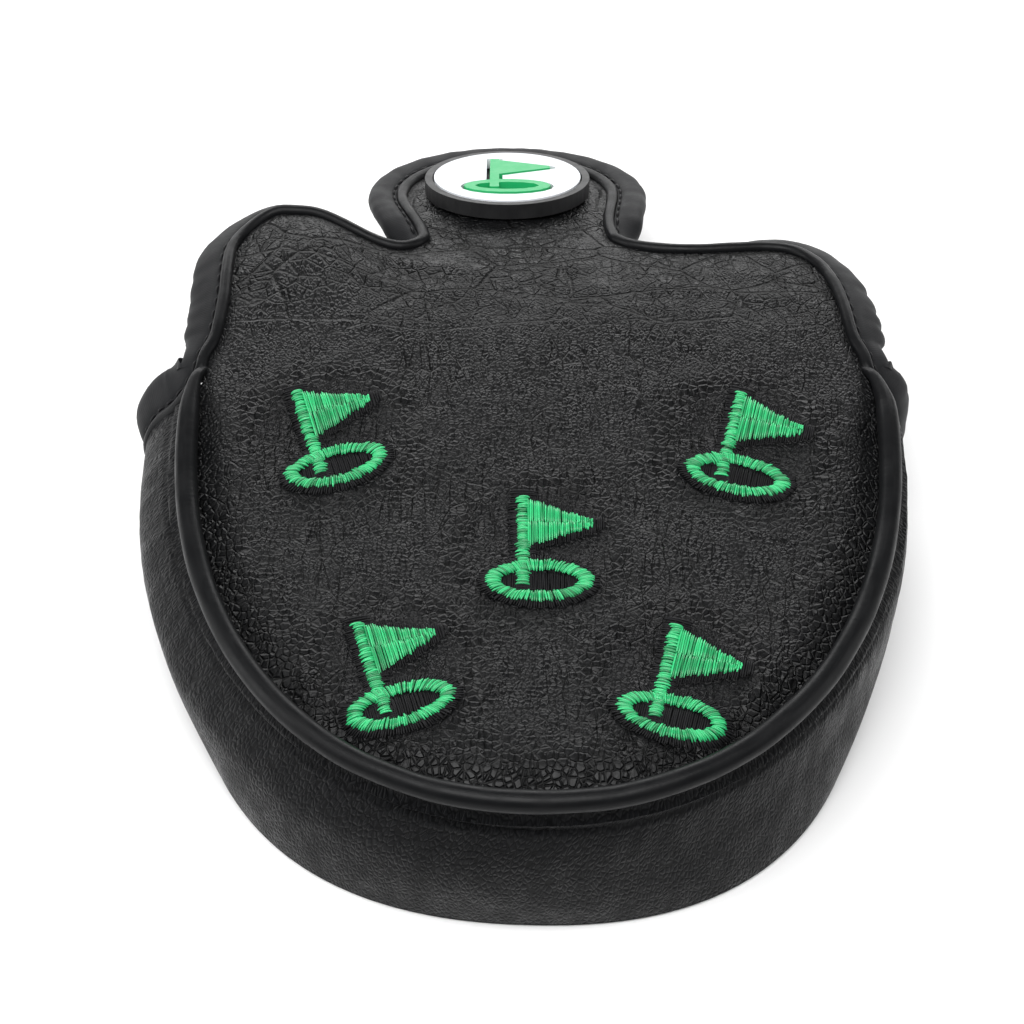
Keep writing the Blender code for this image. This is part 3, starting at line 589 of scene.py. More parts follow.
def leather(name, colour, grain, shine, on_crown=False, streak=(1, 1, 1)):
    """Coated leather: fine pebbles, with painted shade darkening the creases between them.

    On the crown, crackle says where the pebbles are larger and deeper, and bend where it has cracked in use;
    the cracks there are darkened with painted shade.
    """
    m = Nodes(name, colour, 0.38, Specular_IOR_Level=shine)
    at = m.stretch(m.lay(), streak)
    warp = m.add("ShaderNodeTexNoise", {"Vector": at, "Scale": 300.0, "Detail": 1.0}).outputs["Color"]
    shift = m.stretch(warp, (0.0005,) * 3)
    at = m.add("ShaderNodeVectorMath", {0: at, 1: shift}, operation="ADD").outputs[0]
    pebble = m.cells(at, grain)
    height = m.ramp(pebble, 0.0, 0.32)
    colour_now = m.mottle(at, 90.0, 3.0, colour, 0.80, 1.25)
    # painted shade: the creases between the pebbles are darkened towards black
    crease_shade = m.times(m.cracks(pebble, 0.16), 0.7)
    colour_now = m.mix(crease_shade, colour_now, (0.001, 0.001, 0.001, 1))
    normal = m.bump(m.noise(at, grain * 3.0, 2.0), 0.30, 0.00006)
    if on_crown:
        amount = m.attribute("crackle")
        calm = m.maths("SUBTRACT", 1.0, m.times(amount, 0.9))
        bumpy = m.times(height, calm)
        normal = m.bump(bumpy, 0.80, 0.00014, normal)
        wide = m.cells(at, grain * 0.66)
        domes = m.times(m.ramp(wide, 0.0, 0.20), amount)
        normal = m.bump(domes, 1.0, 0.00026, normal)
        # painted shade in the gaps between the larger pebbles and, below, in the long cracks
        crack_shade = m.times(m.cracks(wide, 0.10), amount)
        long_cracks = m.cracks(m.cells(m.stretch(at, (1.0, 0.42, 1.0)), 430.0), 0.055)
        long_cracks = m.times(long_cracks, m.ramp(m.noise(at, 70.0, 2.0), 0.42, 0.60))
        normal = m.bump(m.maths("SUBTRACT", 1.0, long_cracks), 0.8, 0.00025, normal)
        crack_shade = m.maths("MAXIMUM", crack_shade, m.times(long_cracks, 0.8))
        bend = m.attribute("bend")
        web = m.cells(m.stretch(at, (0.85, 1.15, 1.0)), 390.0)
        patchy = m.ramp(m.noise(at, 110.0, 2.0), 0.36, 0.56)
        shown = m.times(bend, patchy)
        lines = m.times(m.cracks(web, 0.085), shown)
        broad = m.cells(m.stretch(at, (0.45, 1.0, 1.0)), 125.0)
        broad = m.times(m.cracks(broad, 0.036), bend)
        lines = m.maths("MAXIMUM", lines, broad)
        normal = m.bump(m.maths("SUBTRACT", 1.0, lines), 1.0, 0.00045, normal)
        # painted shade: the cracks, which are wear, are darkened towards black
        both = m.maths("MAXIMUM", crack_shade, m.times(lines, 0.9))
        colour_now = m.mix(m.times(both, 0.85), colour_now, (0.0008, 0.0008, 0.0008, 1))
    else:
        normal = m.bump(height, 0.80, 0.00015, normal)
    m.link(colour_now, "Base Color")
    m.rough(at, 260.0, 4.0, *LEATHER_ROUGHNESS, spread=0.15)
    m.link(normal, "Normal")
    return m.material


def smooth_leather(name, colour):
    """The calmer leather of piping and beads: faint grain and fine stretch lines."""
    m = Nodes(name, colour, 0.32, Specular_IOR_Level=0.12)
    at = m.lay()
    fine = m.noise(at, 1700.0, 3.0)
    lines = m.noise(m.stretch(at, (1.0, 0.25, 1.0)), 900.0, 2.0)
    height = m.maths("ADD", fine, m.times(lines, 0.8))
    m.link(m.bump(height, 0.35, 0.00010), "Normal")
    m.rough(at, 220.0, 3.0, 0.32, 0.46)
    m.link(m.mottle(at, 130.0, 2.0, colour, 0.85, 1.2), "Base Color")
    return m.material


def knit(name, colour):
    """Stretch knit over neoprene: very fine ribs, matte, with a soft sheen."""
    m = Nodes(name, colour, 0.62, Sheen_Weight=0.04, Sheen_Roughness=0.4, Specular_IOR_Level=0.14)
    at = m.lay()
    wave = {"Vector": at, "Scale": 700.0, "Distortion": 1.2, "Detail": 1.0}
    ribs = m.add("ShaderNodeTexWave", wave, bands_direction="X").outputs["Fac"]
    height = m.maths("ADD", m.times(ribs, 0.5), m.noise(at, 2600.0, 2.0))
    m.link(m.bump(height, 0.30, 0.00007), "Normal")
    m.rough(at, 300.0, 3.0, 0.54, 0.68)
    m.link(m.mottle(at, 160.0, 3.0, colour, 0.85, 1.2), "Base Color")
    return m.material


def thread(name, dark, light, roughness, shine):
    """Shiny rayon thread, varied from stitch to stitch."""
    m = Nodes(name, light, roughness, Specular_IOR_Level=shine)
    at = m.place()
    m.link(m.mix(m.attribute("tone"), (*dark, 1), (*light, 1)), "Base Color")
    m.link(m.bump(m.noise(at, 5200.0, 1.0), 0.30, 0.00005), "Normal")
    m.rough(at, 900.0, 2.0, roughness - 0.06, roughness + 0.08)
    return m.material


def rubber(name, colour, roughness):
    m = Nodes(name, colour, roughness, Specular_IOR_Level=0.45)
    at = m.place()
    m.link(m.bump(m.noise(at, 1500.0, 4.0), 0.18, 0.00008), "Normal")
    m.rough(at, 400.0, 3.0, roughness - 0.05, roughness + 0.07)
    m.link(m.mottle(at, 60.0, 2.0, colour, 0.93, 1.0), "Base Color")
    return m.material


def plush(name, colour):
    """Short pile: a soft fuzz that catches light at the rim."""
    m = Nodes(name, colour, 0.9, Sheen_Weight=0.6, Sheen_Roughness=0.5, Specular_IOR_Level=0.15)
    at = m.place()
    tufts = m.maths("ADD", m.noise(at, 1100.0, 4.0), m.times(m.noise(at, 240.0, 3.0), 0.8))
    m.link(m.bump(tufts, 0.9, 0.0006), "Normal")
    m.link(m.mottle(at, 180.0, 4.0, colour, 0.6, 1.4), "Base Color")
    m.rough(at, 500.0, 2.0, 0.82, 0.96)
    return m.material


def foam(name, colour):
    m = Nodes(name, colour, 0.95, Specular_IOR_Level=0.1)
    at = m.place()
    m.link(m.bump(m.cells(at, 1400.0, "F1"), 0.8, 0.0004), "Normal")
    m.link(m.mottle(at, 120.0, 3.0, colour, 0.85, 1.0), "Base Color")
    return m.material


FINISHES = {
    "crown_leather": leather("crown_leather", (0.0042, 0.0044, 0.0049), 1300.0, 0.17, True),
    "wall_leather": leather("wall_leather", (0.0046, 0.0048, 0.0054), 1350.0, 0.055, False, (1.0, 0.5, 1.0)),
    "piping_leather": smooth_leather("piping_leather", (0.0046, 0.0048, 0.0053)),
    "binding_knit": knit("binding_knit", (0.0060, 0.0063, 0.0072)),
    "black_thread": thread("black_thread", (0.004, 0.004, 0.0045), (0.008, 0.008, 0.009), 0.55, 0.15),
    "green_thread": thread("green_thread", (0.004, 0.13, 0.038), (0.030, 0.50, 0.175), 0.36, 0.5),
    "black_rubber": rubber("black_rubber", (0.006, 0.006, 0.0065), 0.48),
    "white_rubber": rubber("white_rubber", (0.66, 0.68, 0.71), 0.42),
    "green_rubber": rubber("green_rubber", (0.012, 0.36, 0.115), 0.40),
    "plush_lining": plush("plush_lining", (0.022, 0.022, 0.024)),
    "foam": foam("foam", (0.060, 0.060, 0.062)),
    "elastic": knit("elastic", (0.60, 0.59, 0.55)),
    "piping_cord": knit("piping_cord", (0.62, 0.60, 0.54)),
}
NODE_SLOTS = {s["node"]: s["material_slot"] for s in frame["record"]["subparts"]}


def dress(piece, body, slot, *nodes):
    """Puts a piece on its body, in place of the CAD nodes it stands for; slot is not used.

    Without a body, the piece crosses the tongue's fold and has its transform baked into its mesh.
    """
    if nodes:
        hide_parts(*nodes)
    if body:
        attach(piece, body)
    else:
        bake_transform(piece)
    return piece


# ---- crown ----
def crown_parts(points, triangles):
    """The crown proper and its tongue: for each, the points it uses and its triangles of those."""
    middles = np.array([points[list(t)].mean(0) for t in triangles])
    on_tongue = (middles[:, 1] > TONGUE_FROM_Y) & (abs(middles[:, 0]) < TONGUE_LEATHER_HALF)
    for keep in (~on_tongue, on_tongue):
        yield renumbered([t for t, k in zip(triangles, keep) if k])


def leather_attributes(mesh, points):
    """How cracked and how creased the crown's leather is, at each 2-D point; the same amounts set how much
    painted shade its cracks get.
    """
    edge = outline_distance(points, SEAM_LOOP)
    rear = smooth((0.030 - points[:, 1]) / 0.03)
    crackle = rear * (1 - smooth((edge - 0.004) / 0.016))
    for x, y, _ in MARKS.values():
        r = np.linalg.norm(points - [x, y], axis=1)
        crackle = np.maximum(crackle, 0.75 * smooth((r - 0.010) / 0.003) * (1 - smooth((r - 0.014) / 0.006)))
    crackle = np.clip(crackle + 0.25 * (noise(8, points, 0.02) * 0.5 + 0.2), 0, 1)
    bend_zone = smooth((points[:, 1] - 0.040) / 0.018)
    for name, values in (("crackle", crackle), ("bend", bend_zone)):
        kept = mesh.attributes.new(name, "FLOAT", "POINT")
        kept.data.foreach_set("value", np.concatenate([values, values]).astype(np.float32))


def make_crown():
    points, triangles = fill(CROWN_LOOP, LEATHER_STEP)
    pieces = (("crown_leather", "shell", "crown_panel"), ("tongue_leather", None, "tongue_panel"))
    for (name, body, node), (used, chosen) in zip(pieces, crown_parts(points, triangles)):
        flat = points[used]
        lay = np.column_stack([flat, np.zeros(len(flat))])
        both = np.vstack([skin(flat), skin(flat, LEATHER)])
        faces = closed_between(len(flat), chosen)
        piece = add_piece(name, both, faces, FINISHES["crown_leather"], np.vstack([lay, lay]))
        leather_attributes(piece.data, flat)
        dress(piece, body, "crown_leather", node)


# ---- wall ----
def wall_surface(depth, low, high, rows, columns, cut_back, detail):
    """Grid of points of the wall, depth inside its outer face, and their places on the flat leather."""
    angles = np.linspace(0, np.pi, columns)
    seam_x, seam_y = seam(angles)
    top = crown(seam_x, seam_y) - high
    grid = np.zeros((rows, columns + 8, 3))
    lay = np.zeros_like(grid)
    for i in range(rows):
        part = i / (rows - 1)
        z = low + (top - low) * part
        inset = depth - wall_offset(angles, z)
        x, y = seam(angles, inset)
        right = np.linspace(gusset_front(z[0]) - cut_back, y[0], 5)[:-1]
        left = np.linspace(y[-1], gusset_front(z[-1], -1) - cut_back, 5)[1:]
        grid[i, :, 0] = np.concatenate([np.full(4, x[0]), x, np.full(4, x[-1])])
        grid[i, :, 1] = np.concatenate([right, y, left])
        grid[i, :, 2] = np.concatenate([np.full(4, z[0]), z, np.full(4, z[-1])])
    lay[..., 0] = length_along(grid[rows // 2])[None]
    lay[..., 1] = grid[..., 2]
    out = np.gradient(grid[..., :2], axis=1)
    normal = unit(np.stack([out[..., 1], -out[..., 0]], -1))
    grid[..., :2] += detail(lay[..., 0], lay[..., 1] / SEAM_HEIGHT)[..., None] * -normal
    return settle(grid), lay


def wall_detail(along, t):
    """Gathers under the seam, a fold of leather close under it, and slow swells."""
    flat = np.stack([along.ravel(), t.ravel() * SEAM_HEIGHT], -1)
    gathers = noise(11, np.stack([along.ravel(), 0.1 * t.ravel() * SEAM_HEIGHT], -1), 0.0032)
    swell = noise(12, flat, 0.022)
    t = t.ravel()
    made = 0.00004 * gathers * smooth((t - 0.25) / 0.5)
    made += 0.00008 * swell * np.sin(np.pi * np.clip(t, 0, 1))
    fold = np.exp(-(((t - FOLD_AT) / FOLD_WIDTH) ** 2))
    fold -= 0.7 * np.exp(-(((t - HOLLOW_AT) / HOLLOW_WIDTH) ** 2))
    made += FOLD_SIZE * fold * (1 + 0.15 * noise(13, flat, 0.05))
    return made.reshape(along.shape)


def make_wall():
    rows, columns = 56, 330
    high = PIPING_RADIUS * 0.55
    outer, lay = wall_surface(0.0, LEATHER - 0.0002, high, rows, columns, 0.0, wall_detail)
    inner, _ = wall_surface(LEATHER, LEATHER - 0.0002, high, rows, columns, 0.0, wall_detail)
    wall = plate("wall_leather", outer, inner, FINISHES["wall_leather"], lay)
    dress(wall, "shell", "wall_leather", "wall_panel")


# ---- linings, foam and sole ----
def lining_depths(edge):
    """How deep the lining's two faces lie: it meets the leather at its edge, and clears the foam within."""
    part = smooth((edge - 0.0012) / 0.009)
    top = LEATHER + 0.0001 + (FOAM + 2 * GAP) * part
    return top, top + 0.0005 + 0.0005 * part


def make_crown_lining():
    """The crown's and the tongue's plush, and the foam between it and the leather."""
    points, triangles = fill(crown_loop(STACK + 0.0006), 0.0024)
    edge = outline_distance(points, CROWN_LOOP)
    edge = np.where(points[:, 1] < 0.036, 0.02, edge)  # the seam's side has no turned-in edge
    top, bottom = lining_depths(edge)
    pieces = (("crown_plush", "shell", "crown_lining"), ("tongue_plush", None, "tongue_lining"))
    for (name, body, node), (used, chosen) in zip(pieces, crown_parts(points, triangles)):
        flat = points[used]
        faces = closed_between(len(flat), chosen)
        both = np.vstack([skin(flat, top[used]), skin(flat, bottom[used])])
        dress(add_piece(name, both, faces, FINISHES["plush_lining"]), body, "plush_lining", node)
    for name, body, loop, node in (
        ("crown_foam", "shell", padding_loop(), "crown_padding"),
        ("tongue_foam", "tongue", tongue_pad_loop(), "tongue_padding"),
    ):
        flat, chosen = fill(loop, 0.003)
        swell = smooth(outline_distance(flat, loop) / 0.007)
        upper = skin(flat, LEATHER + 0.0002 + (FOAM / 2) * (1 - swell))
        lower = skin(flat, LEATHER + 0.0002 + FOAM / 2 + FOAM / 2 * swell + 0.0001)
        faces = closed_between(len(flat), chosen)
        piece = add_piece(name, np.vstack([upper, lower]), faces, FINISHES["foam"])
        dress(piece, body, "foam", node)


PADDING_FRONT = [(0.0500, 0.0400), (0.0480, 0.0520), (0.0440, 0.0590), (0.0300, 0.0610), (0.0, 0.0615)]


def padding_loop():
    angles = np.linspace(np.pi, 0, 90)
    rear = np.stack(seam(angles, STACK + 0.004), -1)
    front = spline(PADDING_FRONT, 6)[:-1]
    return np.vstack([rear[1:-1], front, PADDING_FRONT[-1:], mirrored(front)])


def tongue_pad_loop():
    middle = [0, TONGUE_CENTRE_Y - 0.001]
    return circle(48) * [TONGUE_PAD_HALF_WIDTH, TONGUE_PAD_HALF_LENGTH] + middle


def make_wall_lining():
    """Foam behind the wall's leather and the plush inside it, whose front edges turn out to the leather."""
    rows, columns = 22, 120
    layers = (
        ("wall_foam", "foam", "wall_padding", LEATHER + 0.0004, FOAM, 0.005, 0.0034),
        ("wall_plush", "plush_lining", "wall_lining", LEATHER + FOAM + 0.0007, PLUSH, 0.0, 0.0014),
    )
    for name, slot, node, depth, thick, back, low in layers:
        faces = []
        for inset in (depth, depth + thick):
            grid, lay = wall_surface(inset, low, 0.0042, rows, columns, back, lambda a, t: 0 * a)
            faces.append(grid)
        outer, inner = faces
        if slot == "plush_lining":
            for end, near in ((0, 3), (-1, -4)):
                shift = (outer[:, near] - inner[:, near]) * (FOAM / PLUSH)
                outer[:, end] += shift
                inner[:, end] += shift
        piece = dress(plate(name, outer, inner, FINISHES[slot], lay), "shell", slot, node)


def foot_loop(inset, front_inset):
    """The sole's outline, counter-clockwise, inset from the wall's foot."""
    angles = np.linspace(np.pi, 0, 200)
    low = LEATHER
    x, y = seam(angles, inset - wall_offset(angles, low))
    rear = np.stack([x, y], -1)
    half = x[-1]
    xs = half * np.cos(np.linspace(0, np.pi, 60))
    front = np.stack([xs, sole_front(xs, half) - front_inset], -1)
    return np.vstack([rear, front[:-1]])


def flat_plate(name, rings, heights, finish):
    """A flat sheet from rings of the same size, each at its height, closed over its first and last ring."""
    count = len(rings[0])
    placed = [settle(np.column_stack([r, np.full(count, h)])) for r, h in zip(rings, heights)]
    faces = grid_faces(len(rings), count, wrap=True)
    last = (len(rings) - 1) * count
    faces += [tuple(range(count)), tuple(last + j for j in reversed(range(count)))]
    points = np.vstack(placed)
    return add_piece(name, points, faces, finish, points, sharp=50)


def make_sole():
    low, back = LEATHER + 0.0002, STACK + 0.0012
    insets = ((0.0016, 0.0012), (0.0006, 0.0004), (0.0001, 0.0), (0.0001, 0.0), (0.0008, 0.0006))
    foam_insets = ((back + 0.002, 0.006), (back, 0.004), (back + 0.002, 0.006))
    plush_insets = ((back - 0.0006, 0.0026), (back - 0.001, 0.002), (back - 0.0002, 0.003))
    foam_heights = [low, low + FOAM / 2, low + FOAM]
    low += FOAM + 0.0002
    plush_heights = [low, low + PLUSH / 2, low + PLUSH]
    for name, slot, node, places, heights in (
        ("sole_leather", "wall_leather", "sole_panel", insets, [0.0, 0.0001, 0.0005, 0.0009, LEATHER]),
        ("sole_foam", "foam", "sole_padding", foam_insets, foam_heights),
        ("sole_plush", "plush_lining", "sole_lining", plush_insets, plush_heights),
    ):
        rings = [foot_loop(*place) for place in places]
        piece = dress(flat_plate(name, rings, heights, FINISHES[slot]), "shell", slot, node)


# ---- the mouth's rim: bead, folded binding and its stitches ----
def rim_half(side):
    """Half of the rim, as on the right, before settling, from the wall's foot to the tongue's tip.

    Each row holds the bead's middle, the way the binding hangs, the binding's width and how much it puckers.
    """
    edge = mouth_edge()
    way = directions(edge)
    normal = np.stack([way[:, 1], -way[:, 0]], -1)
    flat = edge + BEAD_OFFSET * normal
    keep = (edge[:, 1] > SHOULDER_END_Y) | (edge[:, 0] < 0.045)
    edge, flat, normal = edge[keep], flat[keep], normal[keep]
    x, y = flat[:, 0], flat[:, 1]
    outward = smooth((x - HANG_FROM_X) / (HANG_TO_X - HANG_FROM_X))
    out, down = (a + (b - a) * outward for a, b in zip(FRONT_HANG, SIDE_HANG))
    tongue = smooth((y - 0.0745) / 0.006) * (x < 0.03)
    slope = -math.tan(math.radians(CROWN_SLOPES[-1][1]))
    out = out + (1.0 - out) * tongue
    down = down + (slope * normal[:, 1] + TONGUE_BAND_DROOP - down) * tongue
    hang = np.column_stack([normal * out[:, None], -down])
    notch = np.exp(-((np.linalg.norm(flat - NOTCH_AT, axis=1) / NOTCH_REACH) ** 2))
    width = BAND_WIDTH + (TONGUE_BAND_WIDTH - BAND_WIDTH) * smooth((y - 0.0715) / 0.006) * (x < 0.03)
    width = width + (NOTCH_BAND_WIDTH - width) * notch
    width = width - CORNER_PINCH * np.exp(-(((y - SHOULDER_END_Y) / 0.005) ** 2)) * (x > 0.045)
    pucker = 0.15 + 0.85 * outward * (1 - smooth((y - 0.060) / 0.006)) + 0.5 * notch
    crown_rows = np.column_stack([flat, crown(x, y) - BEAD_SINK, hang, width, pucker])
    down_points = [
        (SEAM_HALF_WIDTH + wall_offset(0.0, z) - LEATHER / 2, gusset_front(z, side) + BEAD_OFFSET, z)
        for z in GUSSET_HEIGHTS
    ]
    corner = crown_rows[0]
    wall_ways = spline([corner[3:6], CORNER_WAY, *GUSSET_HANG], 12)
    over_piping = (*BEAD_CROSSES, float(crown(*BEAD_CROSSES)) - BEAD_CROSSES_DROP)
    wall_points = spline([corner[:3], over_piping, *down_points], 12)
    t = np.linspace(1, 0, len(wall_points))
    pinched = BAND_WIDTH - CORNER_PINCH * np.exp(-(((t - 1.0) / 0.20) ** 2))
    fade = np.column_stack([pinched, 0.25 + 0.75 * smooth((t - 0.55) / 0.3)])
    wall_rows = np.column_stack([wall_points, wall_ways, fade])[::-1]
    return np.vstack([wall_rows[:-1], crown_rows])


def make_rim_line():
    """The whole rim, settled, at even steps: points, hang, width and pucker, and the tongue's ends."""
    half = rim_half(1)
    other = rim_half(-1)[::-1][1:] * [-1, 1, 1, -1, 1, 1, 1, LEFT_PUCKER]
    rows = np.vstack([half, other])
    path = settle(rows[:, :3])
    along = length_along(path)
    places = np.linspace(0, along[-1], round(along[-1] / RIM_STEP) + 1)
    on_tongue = (rows[:, 1] > TONGUE_FROM_Y) & (abs(rows[:, 0]) < TONGUE_RIM_HALF)
    mark = at_places(places, along, on_tongue[:, None].astype(float))[:, 0] > 0.5
    first, last = np.nonzero(mark)[0][[0, -1]]
    path, hang, shape = (at_places(places, along, part) for part in (path, rows[:, 3:6], rows[:, 6:]))
    return path, hang, shape, int(first), int(last)


def rim_frames():
    """The rim's line with its two cross directions, eased so that the binding stays whole at corners."""
    path, hang, shape, first, last = make_rim_line()
    kernel = np.hanning(17)[1:-1]
    kernel /= kernel.sum()
    reach = len(kernel) // 2

    def eased(rows):
        padded = np.pad(rows, ((reach, reach), (0, 0)), "edge")
        return np.stack([np.convolve(padded[:, k], kernel, "valid") for k in range(3)], -1)

    across, down = frames(path, eased(hang))
    across, down = frames(path, eased(across))
    return path, across, -down, shape, first, last


def band_sections(shape, seed):
    """The folded binding's section at each point: narrower at the notch, puckered at the corners."""
    width, pucker = shape[:, 0], shape[:, 1]
    line = np.array([*BAND_OUTER, *BAND_EDGE, *BAND_INNER]) / 1000
    closed = spline(np.vstack([line, line[:1]]), 2)[:-1]
    count = len(width)
    along = np.arange(count) * RIM_STEP
    phase = along / PUCKER_SPACING + 0.16 * noise(seed, along[:, None], 0.03)
    lobe = abs(np.sin(np.pi * phase)) ** 0.7 - 0.62
    sections = np.repeat(closed[None], count, axis=0)
    a, b = sections[..., 0], sections[..., 1]
    free = np.clip(a / BAND_WIDTH, 0, 1)
    beyond = np.maximum(a - GROOVE_AT, 0)
    scale = (width - GROOVE_AT) / (BAND_WIDTH - GROOVE_AT)
    new_a = np.minimum(a, GROOVE_AT) + beyond * scale[:, None]
    new_a += 0.0011 * (pucker * lobe)[:, None] * free**1.5
    ripple = 0.00045 * (pucker * lobe)[:, None] * free * np.where(b > 0, 1.0, 0.3)
    fine = 0.00006 * noise(seed + 1, along[:, None], 0.004)[:, None] * free
    thinner = (0.8 + 0.2 * np.clip(scale, 0, 1))[:, None]
    return np.stack([new_a, b * thinner + ripple + fine], -1)


RIM = rim_frames()


def make_rim():
    """Bead and binding round the whole mouth, in three lengths: right, tongue and left."""
    path, across, up, shape, first, last = RIM
    sections = band_sections(shape, 31)
    bead = circle(14)[None] * (BEAD_RADIUS * (1 + 0.03 * noise(33, path, 0.006)))[:, None, None]
    bead = np.broadcast_to(bead, (len(path), 14, 2))
    sewn = path + across * BAND_START
    lengths = (("right", 0, first + 1), ("tongue", first, last + 1), ("left", last, len(path)))
    for name, start, end in lengths:
        part = slice(start, end)
        body = None if name == "tongue" else "shell"
        line = path[part], across[part], up[part]
        cover = sweep(f"{name}_bead_cover", *line, bead[part], FINISHES["piping_leather"])
        dress(cover, body, "piping_leather", f"{name}_bead")
        line = sewn[part], across[part], up[part]
        band = sweep(f"{name}_band", *line, sections[part], FINISHES["binding_knit"])
        dress(band, body, "binding_knit", f"{name}_binding", f"{name}_elastic")
        dress(stitches(f"{name}_stitches", start, end), body, "black_thread")


def stitches(name, start, end):
    """A row of stitches along the binding's groove."""
    path, across, up = RIM[:3]
    at = path + across * (BAND_START + GROOVE_AT) + up * GROOVE_HEIGHT
    at, up = at[start:end], up[start:end]
    along = length_along(at)
    pitch = STITCH_LENGTH + STITCH_GAP
    starts = np.arange(0.6 * pitch, along[-1] - pitch, pitch)
    t = np.linspace(0, 1, 6)
    curves = []
    for begin in starts:
        places = begin + STITCH_LENGTH * t
        dip = 0.00030 * (2 * t - 1) ** 4
        curves.append(at_places(places, along, at) - at_places(places, along, up) * dip[:, None])
    return strands(name, np.array(curves), STITCH_RADIUS, FINISHES["black_thread"])


def strands(name, curves, radius, finish, sides=6):
    """Many short threads as one mesh: curves has shape (threads, points, 3)."""
    threads, count = curves.shape[:2]
    along = unit(np.gradient(curves, axis=1))
    side = unit(np.cross(along, [0.12, 0.21, 0.97]))
    third = np.cross(side, along)
    ring = circle(sides)
    taper = np.full(count, 1.0)
    taper[[0, -1]] = 0.55
    r = radius * taper[None, :, None, None]
    points = curves[:, :, None] + r * (ring[:, :1] * side[:, :, None] + ring[:, 1:] * third[:, :, None])
    faces = []
    one = grid_faces(count, sides, wrap=True)
    one += [tuple(reversed(range(sides))), tuple((count - 1) * sides + j for j in range(sides))]
    size = count * sides
    for i in range(threads):
        faces += [tuple(v + i * size for v in f) for f in one]
    made = add_piece(name, points.reshape(-1, 3), faces, finish, sharp=75)
    tone = np.random.default_rng(len(name) + threads).uniform(0, 1, threads) ** 0.8
    kept = made.data.attributes.new("tone", "FLOAT", "POINT")
    kept.data.foreach_set("value", np.repeat(tone, count * sides).astype(np.float32))
    return made


def make_sole_band():
    """The folded binding along the sole's front edge."""
    half = SEAM_HALF_WIDTH + float(wall_offset(0.0, LEATHER))
    x = np.linspace(half - 0.004, -half + 0.004, 130)
    path = settle(np.stack([x, sole_front(x, half) - 0.0012, np.full(len(x), 0.0019)], -1))
    hang = np.stack([0.3 * x / half, np.ones(len(x)), np.zeros(len(x))], -1)
    across, third = frames(path, hang)
    shape = np.column_stack([np.full(len(x), BAND_WIDTH - 0.0008), np.full(len(x), 0.2)])
    piece = sweep("sole_band", path, across, -third, band_sections(shape, 41), FINISHES["binding_knit"])
    dress(piece, "shell", "binding_knit", "sole_binding", "sole_elastic")


# ---- embroidery ----
def ellipse(half_width, half_height, angles):
    return np.stack([half_width * np.cos(angles), CUP_Y + half_height * np.sin(angles)], -1)


def stroke(ends_a, ends_b, spacing):
    """Satin stitches between two lines: each line is resampled so that the stitches are evenly spaced."""
    middle = (ends_a + ends_b) / 2
    along = length_along(middle)
    places = np.linspace(0, along[-1], max(2, round(along[-1] / spacing) + 1))
    return np.stack([at_places(places, along, ends_a), at_places(places, along, ends_b)], 1)


def mark_strokes(grow, filled):
    """Stitches of the mark, as pairs of ends on the flat leather, widened by grow."""
    half = POLE_WIDTH / 2 + grow
    ys = np.array([POLE_FOOT - grow, POLE_TOP + grow])
    pole = (np.stack([[POLE_X - half] * 2, ys], -1), np.stack([[POLE_X + half] * 2, ys], -1))
    tip_x, tip_y = PENNANT_TIP
    xs = np.array([POLE_X + POLE_WIDTH / 2, tip_x + 1.6 * grow])
    tall = np.array([tip_y - PENNANT_LOW + grow, 0.0006 + 0.3 * grow])
    line = np.stack([xs, [tip_y] * 2], -1)
    up = np.stack([[0, 0], tall], -1)
    angles = np.linspace(-np.pi / 2, 1.5 * np.pi, 90)
    outer = ellipse(CUP_HALF_WIDTH + grow, CUP_HALF_HEIGHT + grow, angles)
    inner = ellipse(CUP_HALF_WIDTH - CUP_STROKE, CUP_HALF_HEIGHT - 0.8 * CUP_STROKE, angles)
    strokes = [(outer, inner), pole]
    if filled:
        ends = np.linspace(-1, 1, 30)[1:-1]
        x = (CUP_HALF_WIDTH - CUP_STROKE) * ends
        tall_cup = (CUP_HALF_HEIGHT - 0.8 * CUP_STROKE) * np.sqrt(1 - ends**2)
        strokes.append((np.stack([x, CUP_Y - tall_cup], -1), np.stack([x, CUP_Y + tall_cup], -1)))
        strokes.append((line - up, line + up))
    else:
        split = up * 0.12
        strokes += [(line - up, line - split * [0, -1]), (line + split * [0, -0.2], line + up)]
    return [stroke(a, b, THREAD_SPACING) for a, b in strokes]


def make_mark(name, x, y, turn, seed):
    c, s = math.cos(math.radians(turn)), math.sin(math.radians(turn))
    spin = np.array([[c, s], [-s, c]])
    rng = np.random.default_rng(seed)
    layers = (
        ("black", MARK_BORDER, True, 0.00005, 0.00034, "black_thread", "backing"),
        ("green", 0.0, False, 0.00040, 0.00042, "green_thread", "thread"),
    )
    t = np.linspace(0, 1, 7)
    for colour, grow, filled, base, arch, slot, node in layers:
        ends = np.vstack(mark_strokes(grow, filled))
        way = ends[:, 1] - ends[:, 0]
        length = np.linalg.norm(way, axis=1, keepdims=True)
        way = way / length
        for end, sign in ((0, -1), (1, 1)):
            ends[:, end] += sign * way * rng.uniform(-0.00016, 0.00034, (len(ends), 1))
            ends[:, end] += rng.normal(0, 0.00006, (len(ends), 2))
        flat = ends[:, None, 0] + (ends[:, 1] - ends[:, 0])[:, None] * t[:, None]
        flat = flat @ spin + [x, y]
        lift = base + arch * np.minimum(1.0, length / 0.0022) * np.sin(np.pi * t) ** 0.6
        lift = lift + rng.uniform(0, 0.00009, (len(ends), 1))
        points = skin(flat.reshape(-1, 2)).reshape(*flat.shape[:2], 3)
        points[..., 2] += lift
        piece = strands(f"{name}_{colour}_embroidery", points, THREAD_RADIUS, FINISHES[slot])
        dress(piece, "shell", slot, f"mark_{name}_{node}")


